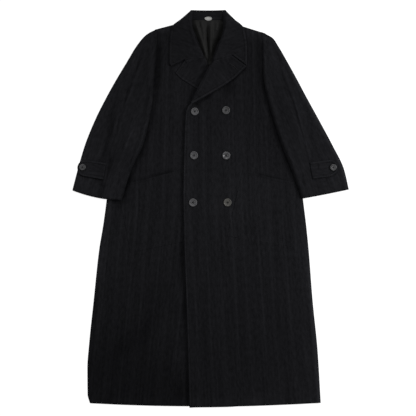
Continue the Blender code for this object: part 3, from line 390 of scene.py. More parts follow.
# Painted light and shade along a line, made the same way: piece(s), path, half width left and right of it in squares,
# change.
PAINTED_LIGHT_AND_SHADE_LINES = (
    # painted shade where the right front goes in under its sleeve, and on the sleeve's edge there
    ("front_right", ((158.6, 37), (158.0, 48), (157.4, 60), (156.2, 72), (155.4, 84), (154.8, 97)), 5.2, 2.0, -0.42),
    ("sleeve_top_right", ((157.4, 38), (156.6, 55), (155.8, 70), (154.8, 84), (153.6, 99)), 2.0, 2.0, -0.44),
    ("front_right pocket_right", ((154.6, 96), (154.2, 106), (152.0, 118), (149.4, 130), (146.0, 142), (141.9, 153), (136.2, 166),
                     (130.2, 178), (126.2, 188), (123.4, 198), (122.4, 203)), 2.4, 2.4, -0.38),
    ("sleeve_top_right", ((153.9, 96), (152.4, 108), (149.9, 120), (143.8, 145), (131.9, 170), (122.3, 200)), 1.3, 1.3, -0.24),
    ("front_right pocket_right", ((132, 174), (128.6, 182), (126.0, 190), (123.8, 198), (122, 206)), 2.6, 2.0, -0.28),
    # outer edges of the sleeves and the skirt catch more light
    ("sleeve_top_right", ((146, 35), (127, 62), (116, 80), (106, 98), (95, 120), (85, 145), (78, 169), (70, 198)), 7.0, 3.0, 0.24),
    ("sleeve_top_left", ((278, 46), (296, 78), (306.5, 97), (319, 120), (332.5, 145), (344, 168.5), (352, 200)), 3.0, 8.0, 0.22),
    ("front_left", ((308.8, 240), (309.6, 262), (312.7, 300), (317.7, 350), (322, 430)), 3.0, 3.4, 0.45),
    ("sleeve_top_left", ((292, 70), (306.5, 97), (319, 120), (332.5, 145), (344, 168.5), (350, 190)), 3.0, 5.5, 0.32),
    ("front_left", ((301, 176), (303.1, 199), (306.3, 225), (308.8, 250), (312.7, 300), (317.7, 350), (322, 430)), 3.0, 8.0, 0.34),
    ("front_right", ((108, 186), (103.1, 225), (99.0, 250), (94.5, 292)), 6.0, 3.0, 0.50),
    # and painted shade where the left front goes in under the other sleeve, with painted light on that sleeve's inner
    # edge
    ("front_left", ((259.6, 33), (260.0, 42), (260.4, 50), (260.8, 62), (262.0, 80), (265.2, 97)), 3.0, 7.5, -0.40),
    ("sleeve_top_left", ((267.0, 32), (267.6, 46), (268, 58), (268.6, 70)), 4.0, 4.0, 0.18),
    ("sleeve_top_left", ((262.6, 34), (263.1, 46), (263.6, 61), (264.3, 78), (267.1, 97)), 2.8, 1.2, 0.34),
    ("front_left", ((264, 104), (268.5, 122), (273.5, 140), (280, 160), (287, 180)), 8, 8, -0.17),
    # painted shadow beside the front edge, and painted light on the left front along it
    ("front_right", ((181.8, 235), (182.4, 262), (184.2, 310), (184.8, 326)), 2.8, 3.0, -0.33),
    ("front_right", ((185.1, 332), (185.8, 350), (187.2, 412), (188.8, 450)), 2.8, 1.8, -0.20),
    ("front_left", ((188.5, 112), (187.4, 150), (186.8, 208)), 9.0, 4.0, 0.14),
    # painted shade along the pocket mouths
    ("front_right", ((149, 176.8), (158, 175.0), (166, 173.2), (172.5, 171.4)), 1.9, 0.9, -0.42),
    ("front_right pocket_right", ((134, 180.2), (146, 178.0), (152, 176.8)), 1.7, 1.7, -0.14),
    ("front_left pocket_left", ((252, 173.6), (263, 175.6), (274, 177.6), (286, 180.6)), 1.5, 1.5, -0.20),
    # and along the pressed lower edge of the left one: painted light over the crevice under that edge, a soft line of
    # painted shade, and painted light above it
    ("front_left pocket_left", ((226.4, 236.1), (240, 238.2), (252, 240.2), (264, 242.1), (290.5, 246.4)), 0.9, 0.9, 0.24),
    ("front_left pocket_left", ((226.6, 237.4), (240, 239.5), (252, 241.5), (264, 243.4), (289.5, 247.6)), 1.2, 1.2, -0.10),
    ("pocket_left", ((240, 235.2), (252, 237.2), (264, 239.1), (288, 243.2)), 2.2, 2.2, 0.08),
    # neck: painted shade in the lining along both collar rolls and in its pleat, and painted light on a ridge of it
    ("lining_back", ((191.8, 18), (193.6, 28), (196.0, 37.5), (198.4, 46), (200.4, 51)), 1.8, 2.4, -0.66),
    ("lining_back", ((207.2, 24), (207.5, 36), (208.3, 46), (209.2, 60)), 0.75, 0.75, -0.75),
    ("lining_back", ((223.6, 18), (221.6, 29), (218.2, 39), (215.2, 47), (213.2, 57)), 3.6, 2.7, -0.7),
    ("lining_back", ((201.6, 41), (204.2, 48), (207.4, 54), (209.2, 58)), 2.2, 2.0, 0.36),
    # painted light along the pressed creases of the sleeves and painted shade beside them, and painted shade over a
    # broad band of the left sleeve
    ("sleeve_top_right", ((133.3, 84), (129.5, 95), (125.2, 107)), 0.8, 0.8, 0.26),
    ("sleeve_top_right", ((131.9, 84), (128.1, 95), (123.8, 107)), 1.0, 1.0, -0.16),
    ("sleeve_top_right", ((144.2, 93), (138.7, 104.4)), 0.8, 0.8, 0.24),
    ("sleeve_top_right", ((142.9, 50), (139.0, 61), (136.4, 70)), 1.1, 1.1, -0.22),
    ("sleeve_top_right", ((119.7, 113.5), (114.3, 132.8)), 0.7, 0.7, 0.24),
    ("sleeve_top_right", ((116.8, 113.5), (112.4, 132.8)), 0.9, 0.9, -0.14),
    ("sleeve_top_right", ((134.7, 128.6), (129, 139), (125.2, 149)), 0.8, 0.8, 0.26),
    ("sleeve_top_right", ((110.6, 158), (107.4, 171)), 1.3, 1.3, -0.22),
    ("sleeve_top_left", ((283.5, 70), (289.6, 89.3), (295.4, 104.2)), 0.9, 0.9, 0.08),
    ("sleeve_top_left", ((293, 96), (295.4, 104.2), (301.1, 126), (305.7, 141), (308.8, 160)), 0.8, 0.8, 0.24),
    ("sleeve_top_left", ((275, 66), (279.5, 92), (286, 122), (294, 152)), 7, 7, -0.10),
    # painted shade at both ends of the collar stand, beside the collar's rolls, and along its top fold
    ("collar_stand", ((192.5, 10), (192.5, 21)), 6, 6, -0.25),
    ("collar_stand", ((222.0, 9), (222.0, 22)), 6, 5, -0.22),
    ("collar_stand", ((180, 10.0), (208, 10.2), (236, 10.0)), 1.5, 1.5, -0.50),
    # right lapel and front: painted shade where the left lapel shades them; painted light, and along one stretch
    # painted shade, on the rolled edges of both lapels and of the right collar leaf
    ("front_right", ((197.6, 82), (193.8, 90), (190.4, 97), (187.6, 104)), 2.4, 2.0, -0.22),
    ("lapel_right", ((206.5, 56), (202.4, 67), (198.5, 76)), 2.4, 2.4, 0.24),
    ("lapel_left", ((210.5, 63.5), (206.6, 70.5), (201, 83.5), (196.0, 92), (193, 98)), 2.3, 2.0, 0.58),
    ("collar_leaf_right", ((193.6, 45), (196.4, 51.5), (198.8, 57), (201, 62)), 2.6, 4.0, 0.56),
    ("collar_leaf_right", ((192.6, 20), (194.2, 30), (196.6, 39), (199, 46)), 1.6, 1.3, -0.22),
    ("collar_leaf_right", ((187.5, 32), (190.4, 39), (193, 45)), 2.2, 2.2, 0.18),
    # painted shade close outside the collar's and the lapels' edges, and painted light on their rims
    ("front_left", ((247.4, 67), (243, 71.0), (235.4, 78.2), (228, 83.7)), 1.2, 1.2, -0.28),
    ("front_left", ((245.4, 30), (247.2, 40), (247.7, 52), (247.7, 61)), 0.9, 0.9, -0.24),
    ("front_left", ((213, 94.2), (208.5, 97.0), (200, 102.2), (194, 105.6)), 1.4, 1.4, -0.36),
    ("collar_leaf_left", ((245.0, 46), (245.8, 54), (245.6, 62)), 1.4, 1.4, 0.16),
    ("lapel_left", ((218, 88.8), (208.6, 94.2), (199, 99.6), (193, 102.8)), 1.3, 1.3, 0.26),
    ("lapel_right front_right", ((171.5, 67.0), (177, 64.2), (183.5, 60.9)), 1.0, 1.0, -0.30),
    # painted light over the seams between collar and lapels, so that they hardly show, and painted shade along the
    # upper edge of the left lapel's peak
    ("collar_leaf_right lapel_right", ((186, 60.6), (192, 59.6), (198, 58.9), (203.5, 58.6)), 1.0, 1.0, 0.32),
    ("collar_leaf_left lapel_left", ((214, 62.2), (220, 59.6), (227, 56.8), (231, 55.3)), 0.9, 0.9, 0.24),
    ("lapel_left", ((245.2, 65.8), (238.5, 61.0), (232.6, 56.4)), 1.0, 1.0, -0.2),
    # end of the slot in the cuff tab
    ("cuff_tab_left", ((318.2, 163.6), (318.2, 169.6)), 0.8, 0.8, -0.55),
)


# ------------------------------------------------------------------------ geometry
def at(gx, gy):
    """Grid squares to millimetres, the coat's middle at the origin."""
    return ((np.asarray(gx, float) - GRID_X) * SQUARE,
            (GRID_Y - np.asarray(gy, float)) * SQUARE)


def squares(flat):
    """Millimetres back to grid squares."""
    return flat[..., 0] / SQUARE + GRID_X, GRID_Y - flat[..., 1] / SQUARE


def ease(knots, values, where):
    """Smooth curve through the table's rows that never overshoots them."""
    step = np.diff(knots)
    rate = np.diff(values) / step
    slope = np.zeros(len(knots))
    slope[0], slope[-1] = rate[0], rate[-1]
    for i in range(1, len(knots) - 1):
        a, b = rate[i - 1], rate[i]
        if a * b > 0:
            w1 = 2 * step[i] + step[i - 1]
            w2 = step[i] + 2 * step[i - 1]
            slope[i] = (w1 + w2) / (w1 / a + w2 / b)
    k = np.clip(np.searchsorted(knots, where) - 1, 0, len(step) - 1)
    h = step[k]
    t = (where - knots[k]) / h
    return ((1 + 2 * t) * (1 - t) ** 2 * values[k] + t * (1 - t) ** 2 * h * slope[k]
            + t * t * (3 - 2 * t) * values[k + 1] + t * t * (t - 1) * h * slope[k + 1])


def soft(lo, hi, x):
    t = np.clip((x - lo) / (hi - lo), 0, 1)
    return t * t * (3 - 2 * t)


def sections(columns, table, step):
    """The table's sections at a fine pitch, closer together at both ends, in mm."""
    raw = {c: np.array([row[i] for row in table], float) for i, c in enumerate(columns)}
    for end in ("in", "mid", "out"):
        if end + "_x" in raw:
            raw[end + "_x"], raw[end + "_y"] = at(raw[end + "_x"], raw[end + "_y"])
    cx = (raw["in_x"] + raw["out_x"]) / 2
    cy = (raw["in_y"] + raw["out_y"]) / 2
    along = np.concatenate(([0], np.cumsum(np.hypot(np.diff(cx), np.diff(cy)))))
    total = along[-1]
    near = EDGE * min(1.0, 0.3 * total / EDGE[-1])
    count = max(4, int(round((total - 2 * near[-1]) / step)))
    where = np.concatenate((near[:-1], np.linspace(near[-1], total - near[-1], count + 1),
                            total - near[-2::-1]))
    out = {c: ease(along, raw[c], where) for c in raw}
    out["along"] = where
    if "mid_x" not in out:
        out["mid_x"] = (out["in_x"] + out["out_x"]) / 2
        out["mid_y"] = (out["in_y"] + out["out_y"]) / 2
        out["bow"] = out["bow"] * SQUARE
    else:
        out["bow"] = np.zeros(len(where))
    return out


def grid_points(sec, step):
    """Plan positions of a piece: a row for each section, columns from in to out."""
    a = np.column_stack((sec["in_x"], sec["in_y"]))
    m = np.column_stack((sec["mid_x"], sec["mid_y"]))
    b = np.column_stack((sec["out_x"], sec["out_y"]))
    la = np.linalg.norm(m - a, axis=1)
    lb = np.linalg.norm(b - m, axis=1)

    def places(length):
        near = EDGE[None, :] * np.minimum(1, 0.6 * length / EDGE[-1])[:, None]
        count = max(3, int(math.ceil(length.max() / step)))
        rest = near[:, -1:] + (length[:, None] - near[:, -1:]) * np.linspace(0, 1, count + 1)
        return np.concatenate((near[:, :-1], rest), 1)

    da, db = places(la), places(lb)
    first = a[:, None] + (m - a)[:, None] * (da / la[:, None])[..., None]
    second = (b[:, None] + (m - b)[:, None] * (db / lb[:, None])[..., None])[:, ::-1][:, 1:]
    plan = np.concatenate((first, second), 1)
    mid_column = da.shape[1] - 1
    share = np.concatenate((da, ((la + lb)[:, None] - db)[:, ::-1][:, 1:]), 1) / (la + lb)[:, None]
    across = (b - a) / np.linalg.norm(b - a, axis=1)[:, None]
    down = np.column_stack((across[:, 1], -across[:, 0]))
    down[down[:, 1] > 0] *= -1
    plan = plan + (4 * share * (1 - share) * sec["bow"][:, None])[..., None] * down[:, None]
    return plan, share, (la + lb), mid_column


def path_distance(flat, path):
    """Distance to a path, the side it lies on, and the share of its length."""
    pts = np.column_stack(at([p[0] for p in path], [p[1] for p in path]))
    run = np.concatenate(([0], np.cumsum(np.linalg.norm(np.diff(pts, axis=0), axis=1))))
    best = np.full(len(flat), 1e9)
    side = np.zeros(len(flat))
    share = np.zeros(len(flat))
    for i in range(len(pts) - 1):
        p, pq = pts[i], pts[i + 1] - pts[i]
        t = ((flat - p) @ pq) / (pq @ pq)
        t = np.clip(t, 0, 1)
        off = flat - p - t[:, None] * pq
        d = np.linalg.norm(off, axis=1)
        near = d < best
        best[near] = d[near]
        side[near] = np.sign(pq[0] * off[near, 1] - pq[1] * off[near, 0])
        share[near] = (run[i] + t[near] * (run[i + 1] - run[i])) / run[-1]
    return best, side, share


def creases(name, flat):
    """Height that the folds, creases and dents add to a piece at each of its points."""
    add = np.zeros(len(flat))
    for pieces, path, half, height, lean in FOLDS:
        if name not in pieces.split():
            continue
        d, side, share = path_distance(flat, path)
        width = half * (1 - lean * side)
        fade = 0.35 + 0.65 * soft(0, 0.22, share) * soft(0, 0.22, 1 - share)
        add += height * fade * np.exp(-(d / width) ** 2)
    for piece, gx, gy, radius, depth in DENTS:
        if piece == name:
            x, y = at(gx, gy)
            d = np.hypot(flat[:, 0] - x, flat[:, 1] - y)
            add -= depth * np.exp(-(d / radius) ** 2)
    return add


def sway(flat, seed, size):
    """Slight unevenness of cloth that was smoothed by hand: a few long random waves."""
    rng = np.random.default_rng(seed)
    out = np.zeros(len(flat))
    for _ in range(11):
        turn = rng.uniform(0, 2 * math.pi)
        length = rng.uniform(90, 300)
        # waves run mostly across, so that the ripples lie along the coat
        k = np.array((math.cos(turn), 0.45 * math.sin(turn))) * 2 * math.pi / length
        out += np.sin(flat @ k + rng.uniform(0, 2 * math.pi))
    return out * size / math.sqrt(11 / 2)


# Colour factor of each point: the painted light and shade of the line table and of the patch table, the patches
# partly tone of the pile.
def painted_light_shade_and_nap_of(name, flat):
    gx, gy = squares(flat)
    out = np.ones(len(flat))
    for pieces, path, left, right, change in PAINTED_LIGHT_AND_SHADE_LINES:
        if name in pieces.split():
            d, side, share = path_distance(flat, path)
            wide = np.where(side > 0, left, right) * SQUARE
            fade = 0.3 + 0.7 * soft(0, 0.2, share) * soft(0, 0.2, 1 - share)
            out += change * fade * np.exp(-(d / wide) ** 2)
    for piece, x, y, wide, tall, turn, change in PAINTED_LIGHT_SHADE_AND_NAP:
        if piece != name:
            continue
        c, s = math.cos(math.radians(turn)), math.sin(math.radians(turn))
        a = ((gx - x) * c - (gy - y) * s) / wide
        b = ((gx - x) * s + (gy - y) * c) / tall
        out += change * np.exp(-(a * a + b * b))
    return np.maximum(out, 0.25)


# ------------------------------------------------------------ laying piece on piece
N_X, N_Y = int(2 * MAP_X / CELL), int(2 * MAP_Y / CELL)
tops = {}


def widen(field, cells):
    """Each cell takes the highest value within this many cells."""
    for _ in range(cells):
        wide = field.copy()
        wide[1:] = np.maximum(wide[1:], field[:-1])
        wide[:-1] = np.maximum(wide[:-1], field[1:])
        field = wide.copy()
        field[:, 1:] = np.maximum(field[:, 1:], wide[:, :-1])
        field[:, :-1] = np.maximum(field[:, :-1], wide[:, 1:])
    return field


def blur(field, cells):
    """Three running means, close to a bell curve."""
    n = 2 * cells + 1
    for _ in range(3):
        for axis in (0, 1):
            pad = [(cells + 1, cells) if k == axis else (0, 0) for k in (0, 1)]
            run = np.cumsum(np.pad(field, pad, mode="edge"), axis=axis, dtype=np.float64)
            field = ((run[n:] - run[:-n]) if axis == 0 else (run[:, n:] - run[:, :-n])) / n
    return field


def below(on):
    field = np.zeros((N_Y, N_X), np.float32)
    for name in on:
        np.maximum(field, tops[name], out=field)
    return field


def look_up(field, flat):
    """Height between the four cells around each point."""
    fx = np.clip((flat[:, 0] + MAP_X) / CELL - 0.5, 0, N_X - 1.001)
    fy = np.clip((flat[:, 1] + MAP_Y) / CELL - 0.5, 0, N_Y - 1.001)
    ix, iy = fx.astype(int), fy.astype(int)
    tx, ty = fx - ix, fy - iy
    return ((field[iy, ix] * (1 - tx) + field[iy, ix + 1] * tx) * (1 - ty)
            + (field[iy + 1, ix] * (1 - tx) + field[iy + 1, ix + 1] * tx) * ty)


def stamp(plan, high):
    """Height map of a piece's upper side."""
    top = np.zeros((N_Y, N_X), np.float32)
    p = np.concatenate((plan, high[..., None]), 2)
    a, b, c, d = p[:-1, :-1], p[:-1, 1:], p[1:, :-1], p[1:, 1:]
    longest = max(np.linalg.norm((b - a)[..., :2], axis=2).max(),
                  np.linalg.norm((c - a)[..., :2], axis=2).max(),
                  np.linalg.norm((d - b)[..., :2], axis=2).max())
    n = max(2, int(math.ceil(longest / (0.7 * CELL))))
    for s in np.linspace(0, 1, n):
        for t in np.linspace(0, 1, n):
            q = ((a * (1 - t) + b * t) * (1 - s) + (c * (1 - t) + d * t) * s).reshape(-1, 3)
            ix = np.clip(((q[:, 0] + MAP_X) / CELL).astype(int), 0, N_X - 1)
            iy = np.clip(((q[:, 1] + MAP_Y) / CELL).astype(int), 0, N_Y - 1)
            np.maximum.at(top, (iy, ix), q[:, 2].astype(np.float32))
    return top


# ------------------------------------------------------------------------ materials
def node(tree, kind, **values):
    made = tree.nodes.new(kind)
    for key, value in values.items():
        setattr(made, key, value)
    return made


def wire(tree, value, socket):
    """Link a socket, or set a number on it."""
    if isinstance(value, (int, float)):
        socket.default_value = value
    else:
        tree.links.new(value, socket)


def math_node(tree, operation, *values):
    made = node(tree, "ShaderNodeMath", operation=operation)
    for value, socket in zip(values, made.inputs):
        wire(tree, value, socket)
    return made.outputs[0]


def ramp(tree, value, lo, hi, out_lo, out_hi, smooth=True):
    made = node(tree, "ShaderNodeMapRange",
                interpolation_type="SMOOTHSTEP" if smooth else "LINEAR")
    wire(tree, value, made.inputs["Value"])
    made.inputs["From Min"].default_value = lo
    made.inputs["From Max"].default_value = hi
    made.inputs["To Min"].default_value = out_lo
    made.inputs["To Max"].default_value = out_hi
    return made.outputs["Result"]


def noise(tree, u, v, size_u, size_v, seed, detail=1.0):
    """Noise whose grains are size_u by size_v metres along the cloth."""
    where = node(tree, "ShaderNodeCombineXYZ")
    wire(tree, math_node(tree, "MULTIPLY", u, 1 / size_u), where.inputs[0])
    wire(tree, math_node(tree, "MULTIPLY", v, 1 / size_v), where.inputs[1])
    where.inputs[2].default_value = seed
    made = node(tree, "ShaderNodeTexNoise")
    made.inputs["Scale"].default_value = 1.0
    made.inputs["Detail"].default_value = detail
    made.inputs["Roughness"].default_value = 0.55
    tree.links.new(where.outputs[0], made.inputs["Vector"])
    return made.outputs["Fac"]


def new_material(name, preview):
    mat = bpy.data.materials.new(name)
    mat.use_nodes = True
    mat.diffuse_color = (*preview, 1.0)
    return mat, mat.node_tree, mat.node_tree.nodes["Principled BSDF"]


def grain_of(tree):
    cloth = node(tree, "ShaderNodeAttribute", attribute_name="grain")
    split = node(tree, "ShaderNodeSeparateXYZ")
    tree.links.new(cloth.outputs["Vector"], split.inputs[0])
    return split.outputs[0], split.outputs[1]


WOOL_TONE = (0.0080, 0.00805, 0.00915)
REPEAT = 26.4 * SQUARE * 0.001     # metres from one light line to the next


def wool(name, stripe, streak, seed):
    """Black herringbone coating with a tone-on-tone stripe and a brushed pile."""
    mat, tree, shader = new_material(name, WOOL_TONE)
    u, v = grain_of(tree)
    line = ramp(tree, math_node(tree, "PINGPONG", u, REPEAT / 2), 0.0010, 0.0052, 1, 0)
    shifted = math_node(tree, "SUBTRACT", u, 0.455 * REPEAT)
    band = ramp(tree, math_node(tree, "PINGPONG", shifted, REPEAT / 2), 0.002, 0.0125, 1, 0)
    rib = noise(tree, u, v, 0.0084, 0.30, seed)
    fleck = noise(tree, u, v, 0.0068, 0.0170, seed + 7)
    patch = noise(tree, u, v, 0.055, 0.110, seed + 13, 2.0)
    zigzag = math_node(tree, "ADD", math_node(tree, "PINGPONG", u, 0.0078), v)
    twill = math_node(tree, "SINE", math_node(tree, "MULTIPLY", zigzag, 2 * math.pi / 0.0034))
    fuzz = noise(tree, u, v, 0.0011, 0.0016, seed + 19, 2.0)

    tone = math_node(tree, "MULTIPLY_ADD", line, 0.20 * stripe, 1.0)
    tone = math_node(tree, "MULTIPLY_ADD", band, 0.14 * stripe, tone)
    tone = math_node(tree, "ADD", tone, ramp(tree, rib, 0.25, 0.75, -0.18 * streak, 0.18 * streak, False))
    tone = math_node(tree, "ADD", tone, ramp(tree, fleck, 0.25, 0.75, -0.24, 0.24, False))
    tone = math_node(tree, "ADD", tone, ramp(tree, patch, 0.25, 0.75, -0.06, 0.06, False))
    tone = math_node(tree, "MULTIPLY_ADD", twill, 0.10, tone)
    tone = math_node(tree, "ADD", tone, ramp(tree, fuzz, 0.2, 0.8, -0.20, 0.20, False))
    # the colour is scaled by each point's painted light and shade, together with some tone patches of the pile
    painted_light_shade_and_nap = node(tree, "ShaderNodeAttribute", attribute_name="painted_light_shade_and_nap")
    tone = math_node(tree, "MULTIPLY", math_node(tree, "MAXIMUM", tone, 0.15), painted_light_shade_and_nap.outputs["Fac"])
    colour = node(tree, "ShaderNodeVectorMath", operation="SCALE")
    colour.inputs[0].default_value = WOOL_TONE
    tree.links.new(tone, colour.inputs["Scale"])
    tree.links.new(colour.outputs[0], shader.inputs["Base Color"])

    tree.links.new(ramp(tree, fuzz, 0.2, 0.8, 0.84, 0.98, False), shader.inputs["Roughness"])
    shader.inputs["Specular IOR Level"].default_value = 0.01
    shader.inputs["Sheen Weight"].default_value = 0.006
    shader.inputs["Sheen Roughness"].default_value = 0.5
    shader.inputs["Sheen Tint"].default_value = (0.85, 0.88, 1.0, 1.0)

    height = math_node(tree, "MULTIPLY_ADD", twill, 0.30, fuzz)
    height = math_node(tree, "MULTIPLY_ADD", fleck, 0.9, height)
    height = math_node(tree, "MULTIPLY_ADD", rib, 0.9 * streak, height)
    bump = node(tree, "ShaderNodeBump")
    bump.inputs["Strength"].default_value = 0.35
    bump.inputs["Distance"].default_value = 0.0009
    tree.links.new(height, bump.inputs["Height"])
    tree.links.new(bump.outputs["Normal"], shader.inputs["Normal"])
    return mat


def satin(name):
    """Olive-grey lining satin."""
    tone = (0.0118, 0.0118, 0.0116)
    mat, tree, shader = new_material(name, tone)
    u, v = grain_of(tree)
    streaks = noise(tree, u, v, 0.0012, 0.030, 3.0, 2.0)
    cloud = noise(tree, u, v, 0.030, 0.060, 5.0, 2.0)
    value = ramp(tree, streaks, 0.2, 0.8, 0.80, 1.20, False)
    value = math_node(tree, "MULTIPLY", value, ramp(tree, cloud, 0.2, 0.8, 0.86, 1.14, False))
    # painted shade in the lining beside the collar's rolls and in its pleat, and painted light on a ridge, scale its
    # colour
    painted_light_shade_and_nap = node(tree, "ShaderNodeAttribute", attribute_name="painted_light_shade_and_nap")
    value = math_node(tree, "MULTIPLY", value, painted_light_shade_and_nap.outputs["Fac"])
    colour = node(tree, "ShaderNodeVectorMath", operation="SCALE")
    colour.inputs[0].default_value = tone
    tree.links.new(value, colour.inputs["Scale"])
    tree.links.new(colour.outputs[0], shader.inputs["Base Color"])
    tree.links.new(ramp(tree, streaks, 0.2, 0.8, 0.46, 0.60, False), shader.inputs["Roughness"])
    shader.inputs["Specular IOR Level"].default_value = 0.03
    shader.inputs["Sheen Weight"].default_value = 0.02
    bump = node(tree, "ShaderNodeBump")
    bump.inputs["Strength"].default_value = 0.25
    bump.inputs["Distance"].default_value = 0.0003
    tree.links.new(streaks, bump.inputs["Height"])
    tree.links.new(bump.outputs["Normal"], shader.inputs["Normal"])
    return mat


def tape(name):
    """Off-white woven tape of the bare neck label."""
    tone = (0.25, 0.2475, 0.24)
    mat, tree, shader = new_material(name, tone)
    u, v = grain_of(tree)
    warp = math_node(tree, "SINE", math_node(tree, "MULTIPLY", u, 2 * math.pi / 0.0009))
    weft = math_node(tree, "SINE", math_node(tree, "MULTIPLY", v, 2 * math.pi / 0.0009))
    weave = math_node(tree, "MULTIPLY", warp, weft)
    soil = noise(tree, u, v, 0.008, 0.008, 2.0, 2.0)
    value = math_node(tree, "MULTIPLY_ADD", weave, 0.07, ramp(tree, soil, 0.2, 0.8, 0.82, 1.08, False))
    # painted light in the middle of the neck label and painted shade along its top and bottom scale its colour
    painted_light_shade_and_nap = node(tree, "ShaderNodeAttribute", attribute_name="painted_light_shade_and_nap")
    value = math_node(tree, "MULTIPLY", value, painted_light_shade_and_nap.outputs["Fac"])
    colour = node(tree, "ShaderNodeVectorMath", operation="SCALE")
    colour.inputs[0].default_value = tone
    tree.links.new(value, colour.inputs["Scale"])
    tree.links.new(colour.outputs[0], shader.inputs["Base Color"])
    tree.links.new(ramp(tree, soil, 0.2, 0.8, 0.75, 0.92, False), shader.inputs["Roughness"])
    bump = node(tree, "ShaderNodeBump")
    bump.inputs["Strength"].default_value = 0.4
    bump.inputs["Distance"].default_value = 0.0002
    tree.links.new(weave, bump.inputs["Height"])
    tree.links.new(bump.outputs["Normal"], shader.inputs["Normal"])
    return mat


def horn(name, tone, seed, rough=0.34):
    """Dark grey button, softly clouded, satin polish."""
    mat, tree, shader = new_material(name, tone)
    where = node(tree, "ShaderNodeTexCoord")
    cloud = node(tree, "ShaderNodeTexNoise")
    cloud.inputs["Scale"].default_value = 140.0
    cloud.inputs["Detail"].default_value = 3.0
    cloud.inputs["Distortion"].default_value = 0.6 + 0.2 * seed
    tree.links.new(where.outputs["Object"], cloud.inputs["Vector"])
    colour = node(tree, "ShaderNodeVectorMath", operation="SCALE")
    colour.inputs[0].default_value = tone
    tree.links.new(ramp(tree, cloud.outputs["Fac"], 0.3, 0.7, 0.72, 1.28), colour.inputs["Scale"])
    tree.links.new(colour.outputs[0], shader.inputs["Base Color"])
    tree.links.new(ramp(tree, cloud.outputs["Fac"], 0.3, 0.7, rough, rough + 0.14), shader.inputs["Roughness"])
    shader.inputs["Specular IOR Level"].default_value = 0.45
    return mat


def thread(name, tone):
    mat, tree, shader = new_material(name, tone)
    where = node(tree, "ShaderNodeTexCoord")
    twist = node(tree, "ShaderNodeTexNoise")
    twist.inputs["Scale"].default_value = 1400.0
    tree.links.new(where.outputs["Object"], twist.inputs["Vector"])
    colour = node(tree, "ShaderNodeVectorMath", operation="SCALE")
    colour.inputs[0].default_value = tone
    tree.links.new(ramp(tree, twist.outputs["Fac"], 0.3, 0.7, 0.7, 1.3), colour.inputs["Scale"])
    tree.links.new(colour.outputs[0], shader.inputs["Base Color"])
    tree.links.new(ramp(tree, twist.outputs["Fac"], 0.3, 0.7, 0.55, 0.75), shader.inputs["Roughness"])
    shader.inputs["Specular IOR Level"].default_value = 0.12
    return mat


WOOL_BODY = wool("wool_striped", 1.0, 1.0, 1.0)
WOOL_SLEEVE = wool("wool_striped_sleeve", 0.3, 0.8, 31.0)
WOOL_PLAIN = wool("wool_plain", 0.0, 0.25, 53.0)
SATIN = satin("lining_satin")
TAPE = tape("label_tape")
HORN = horn("button_horn", (0.050, 0.050, 0.053), 0)
HORN_OLIVE = horn("button_horn_olive", (0.050, 0.048, 0.043), 1)
HORN_DULL = horn("button_horn_dull", (0.031, 0.031, 0.033), 2, 0.42)
HORN_BRIGHT = horn("button_horn_bright", (0.047, 0.047, 0.050), 3, 0.20)
HORN_CUFF = horn("button_horn_cuff", (0.039, 0.039, 0.041), 0)
HORN_OF = {"button_front_2": HORN_DULL, "button_front_4": HORN_BRIGHT,
           "button_front_6": HORN_OLIVE, "button_cuff_right": HORN_CUFF,
           "button_cuff_left": HORN_CUFF}
WALL_AT = {"button_front_4": 0.46}      # where the inner wall of the rim starts to rise
THREAD = thread("thread_black", (0.010, 0.010, 0.011))
THREAD_EDGE = thread("thread_topstitch", (0.0060, 0.0060, 0.0068))
THREAD_HOLE = thread("thread_buttonhole", (0.0090, 0.0090, 0.0100))


# --------------------------------------------------------------------- making meshes
def make_object(name, points, quads, mat, attributes=None, tris=()):
    """A smooth mesh object from points in mm, faces of four corners and a few of three."""
    mesh = bpy.data.meshes.new(name)
    points = np.asarray(points, np.float32) * 0.001
    quads = np.asarray(quads, np.int32)
    tris = np.asarray(tris, np.int32).reshape(-1, 3)
    starts = np.concatenate((np.arange(len(quads)) * 4, quads.size + np.arange(len(tris)) * 3))
    mesh.vertices.add(len(points))
    mesh.vertices.foreach_set("co", points.ravel())
    mesh.loops.add(quads.size + tris.size)
    mesh.loops.foreach_set("vertex_index", np.concatenate((quads.ravel(), tris.ravel())))
    mesh.polygons.add(len(starts))
    mesh.polygons.foreach_set("loop_start", starts.astype(np.int32))
    mesh.update(calc_edges=True)
    mesh.validate()
    mesh.shade_smooth()
    for key, values in (attributes or {}).items():
        kind = "FLOAT_VECTOR" if values.ndim == 2 else "FLOAT"
        made = mesh.attributes.new(key, kind, "POINT")
        made.data.foreach_set("vector" if values.ndim == 2 else "value",
                              np.ascontiguousarray(values, np.float32).ravel())
    mesh.materials.append(mat)
    obj = bpy.data.objects.new(name, mesh)
    bpy.context.scene.collection.objects.link(obj)
    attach(obj, "root")
    return obj


FREE, FOLD, SEAM, SEWN, BUTT = range(5)
KINDS = 5
made_pieces = {}


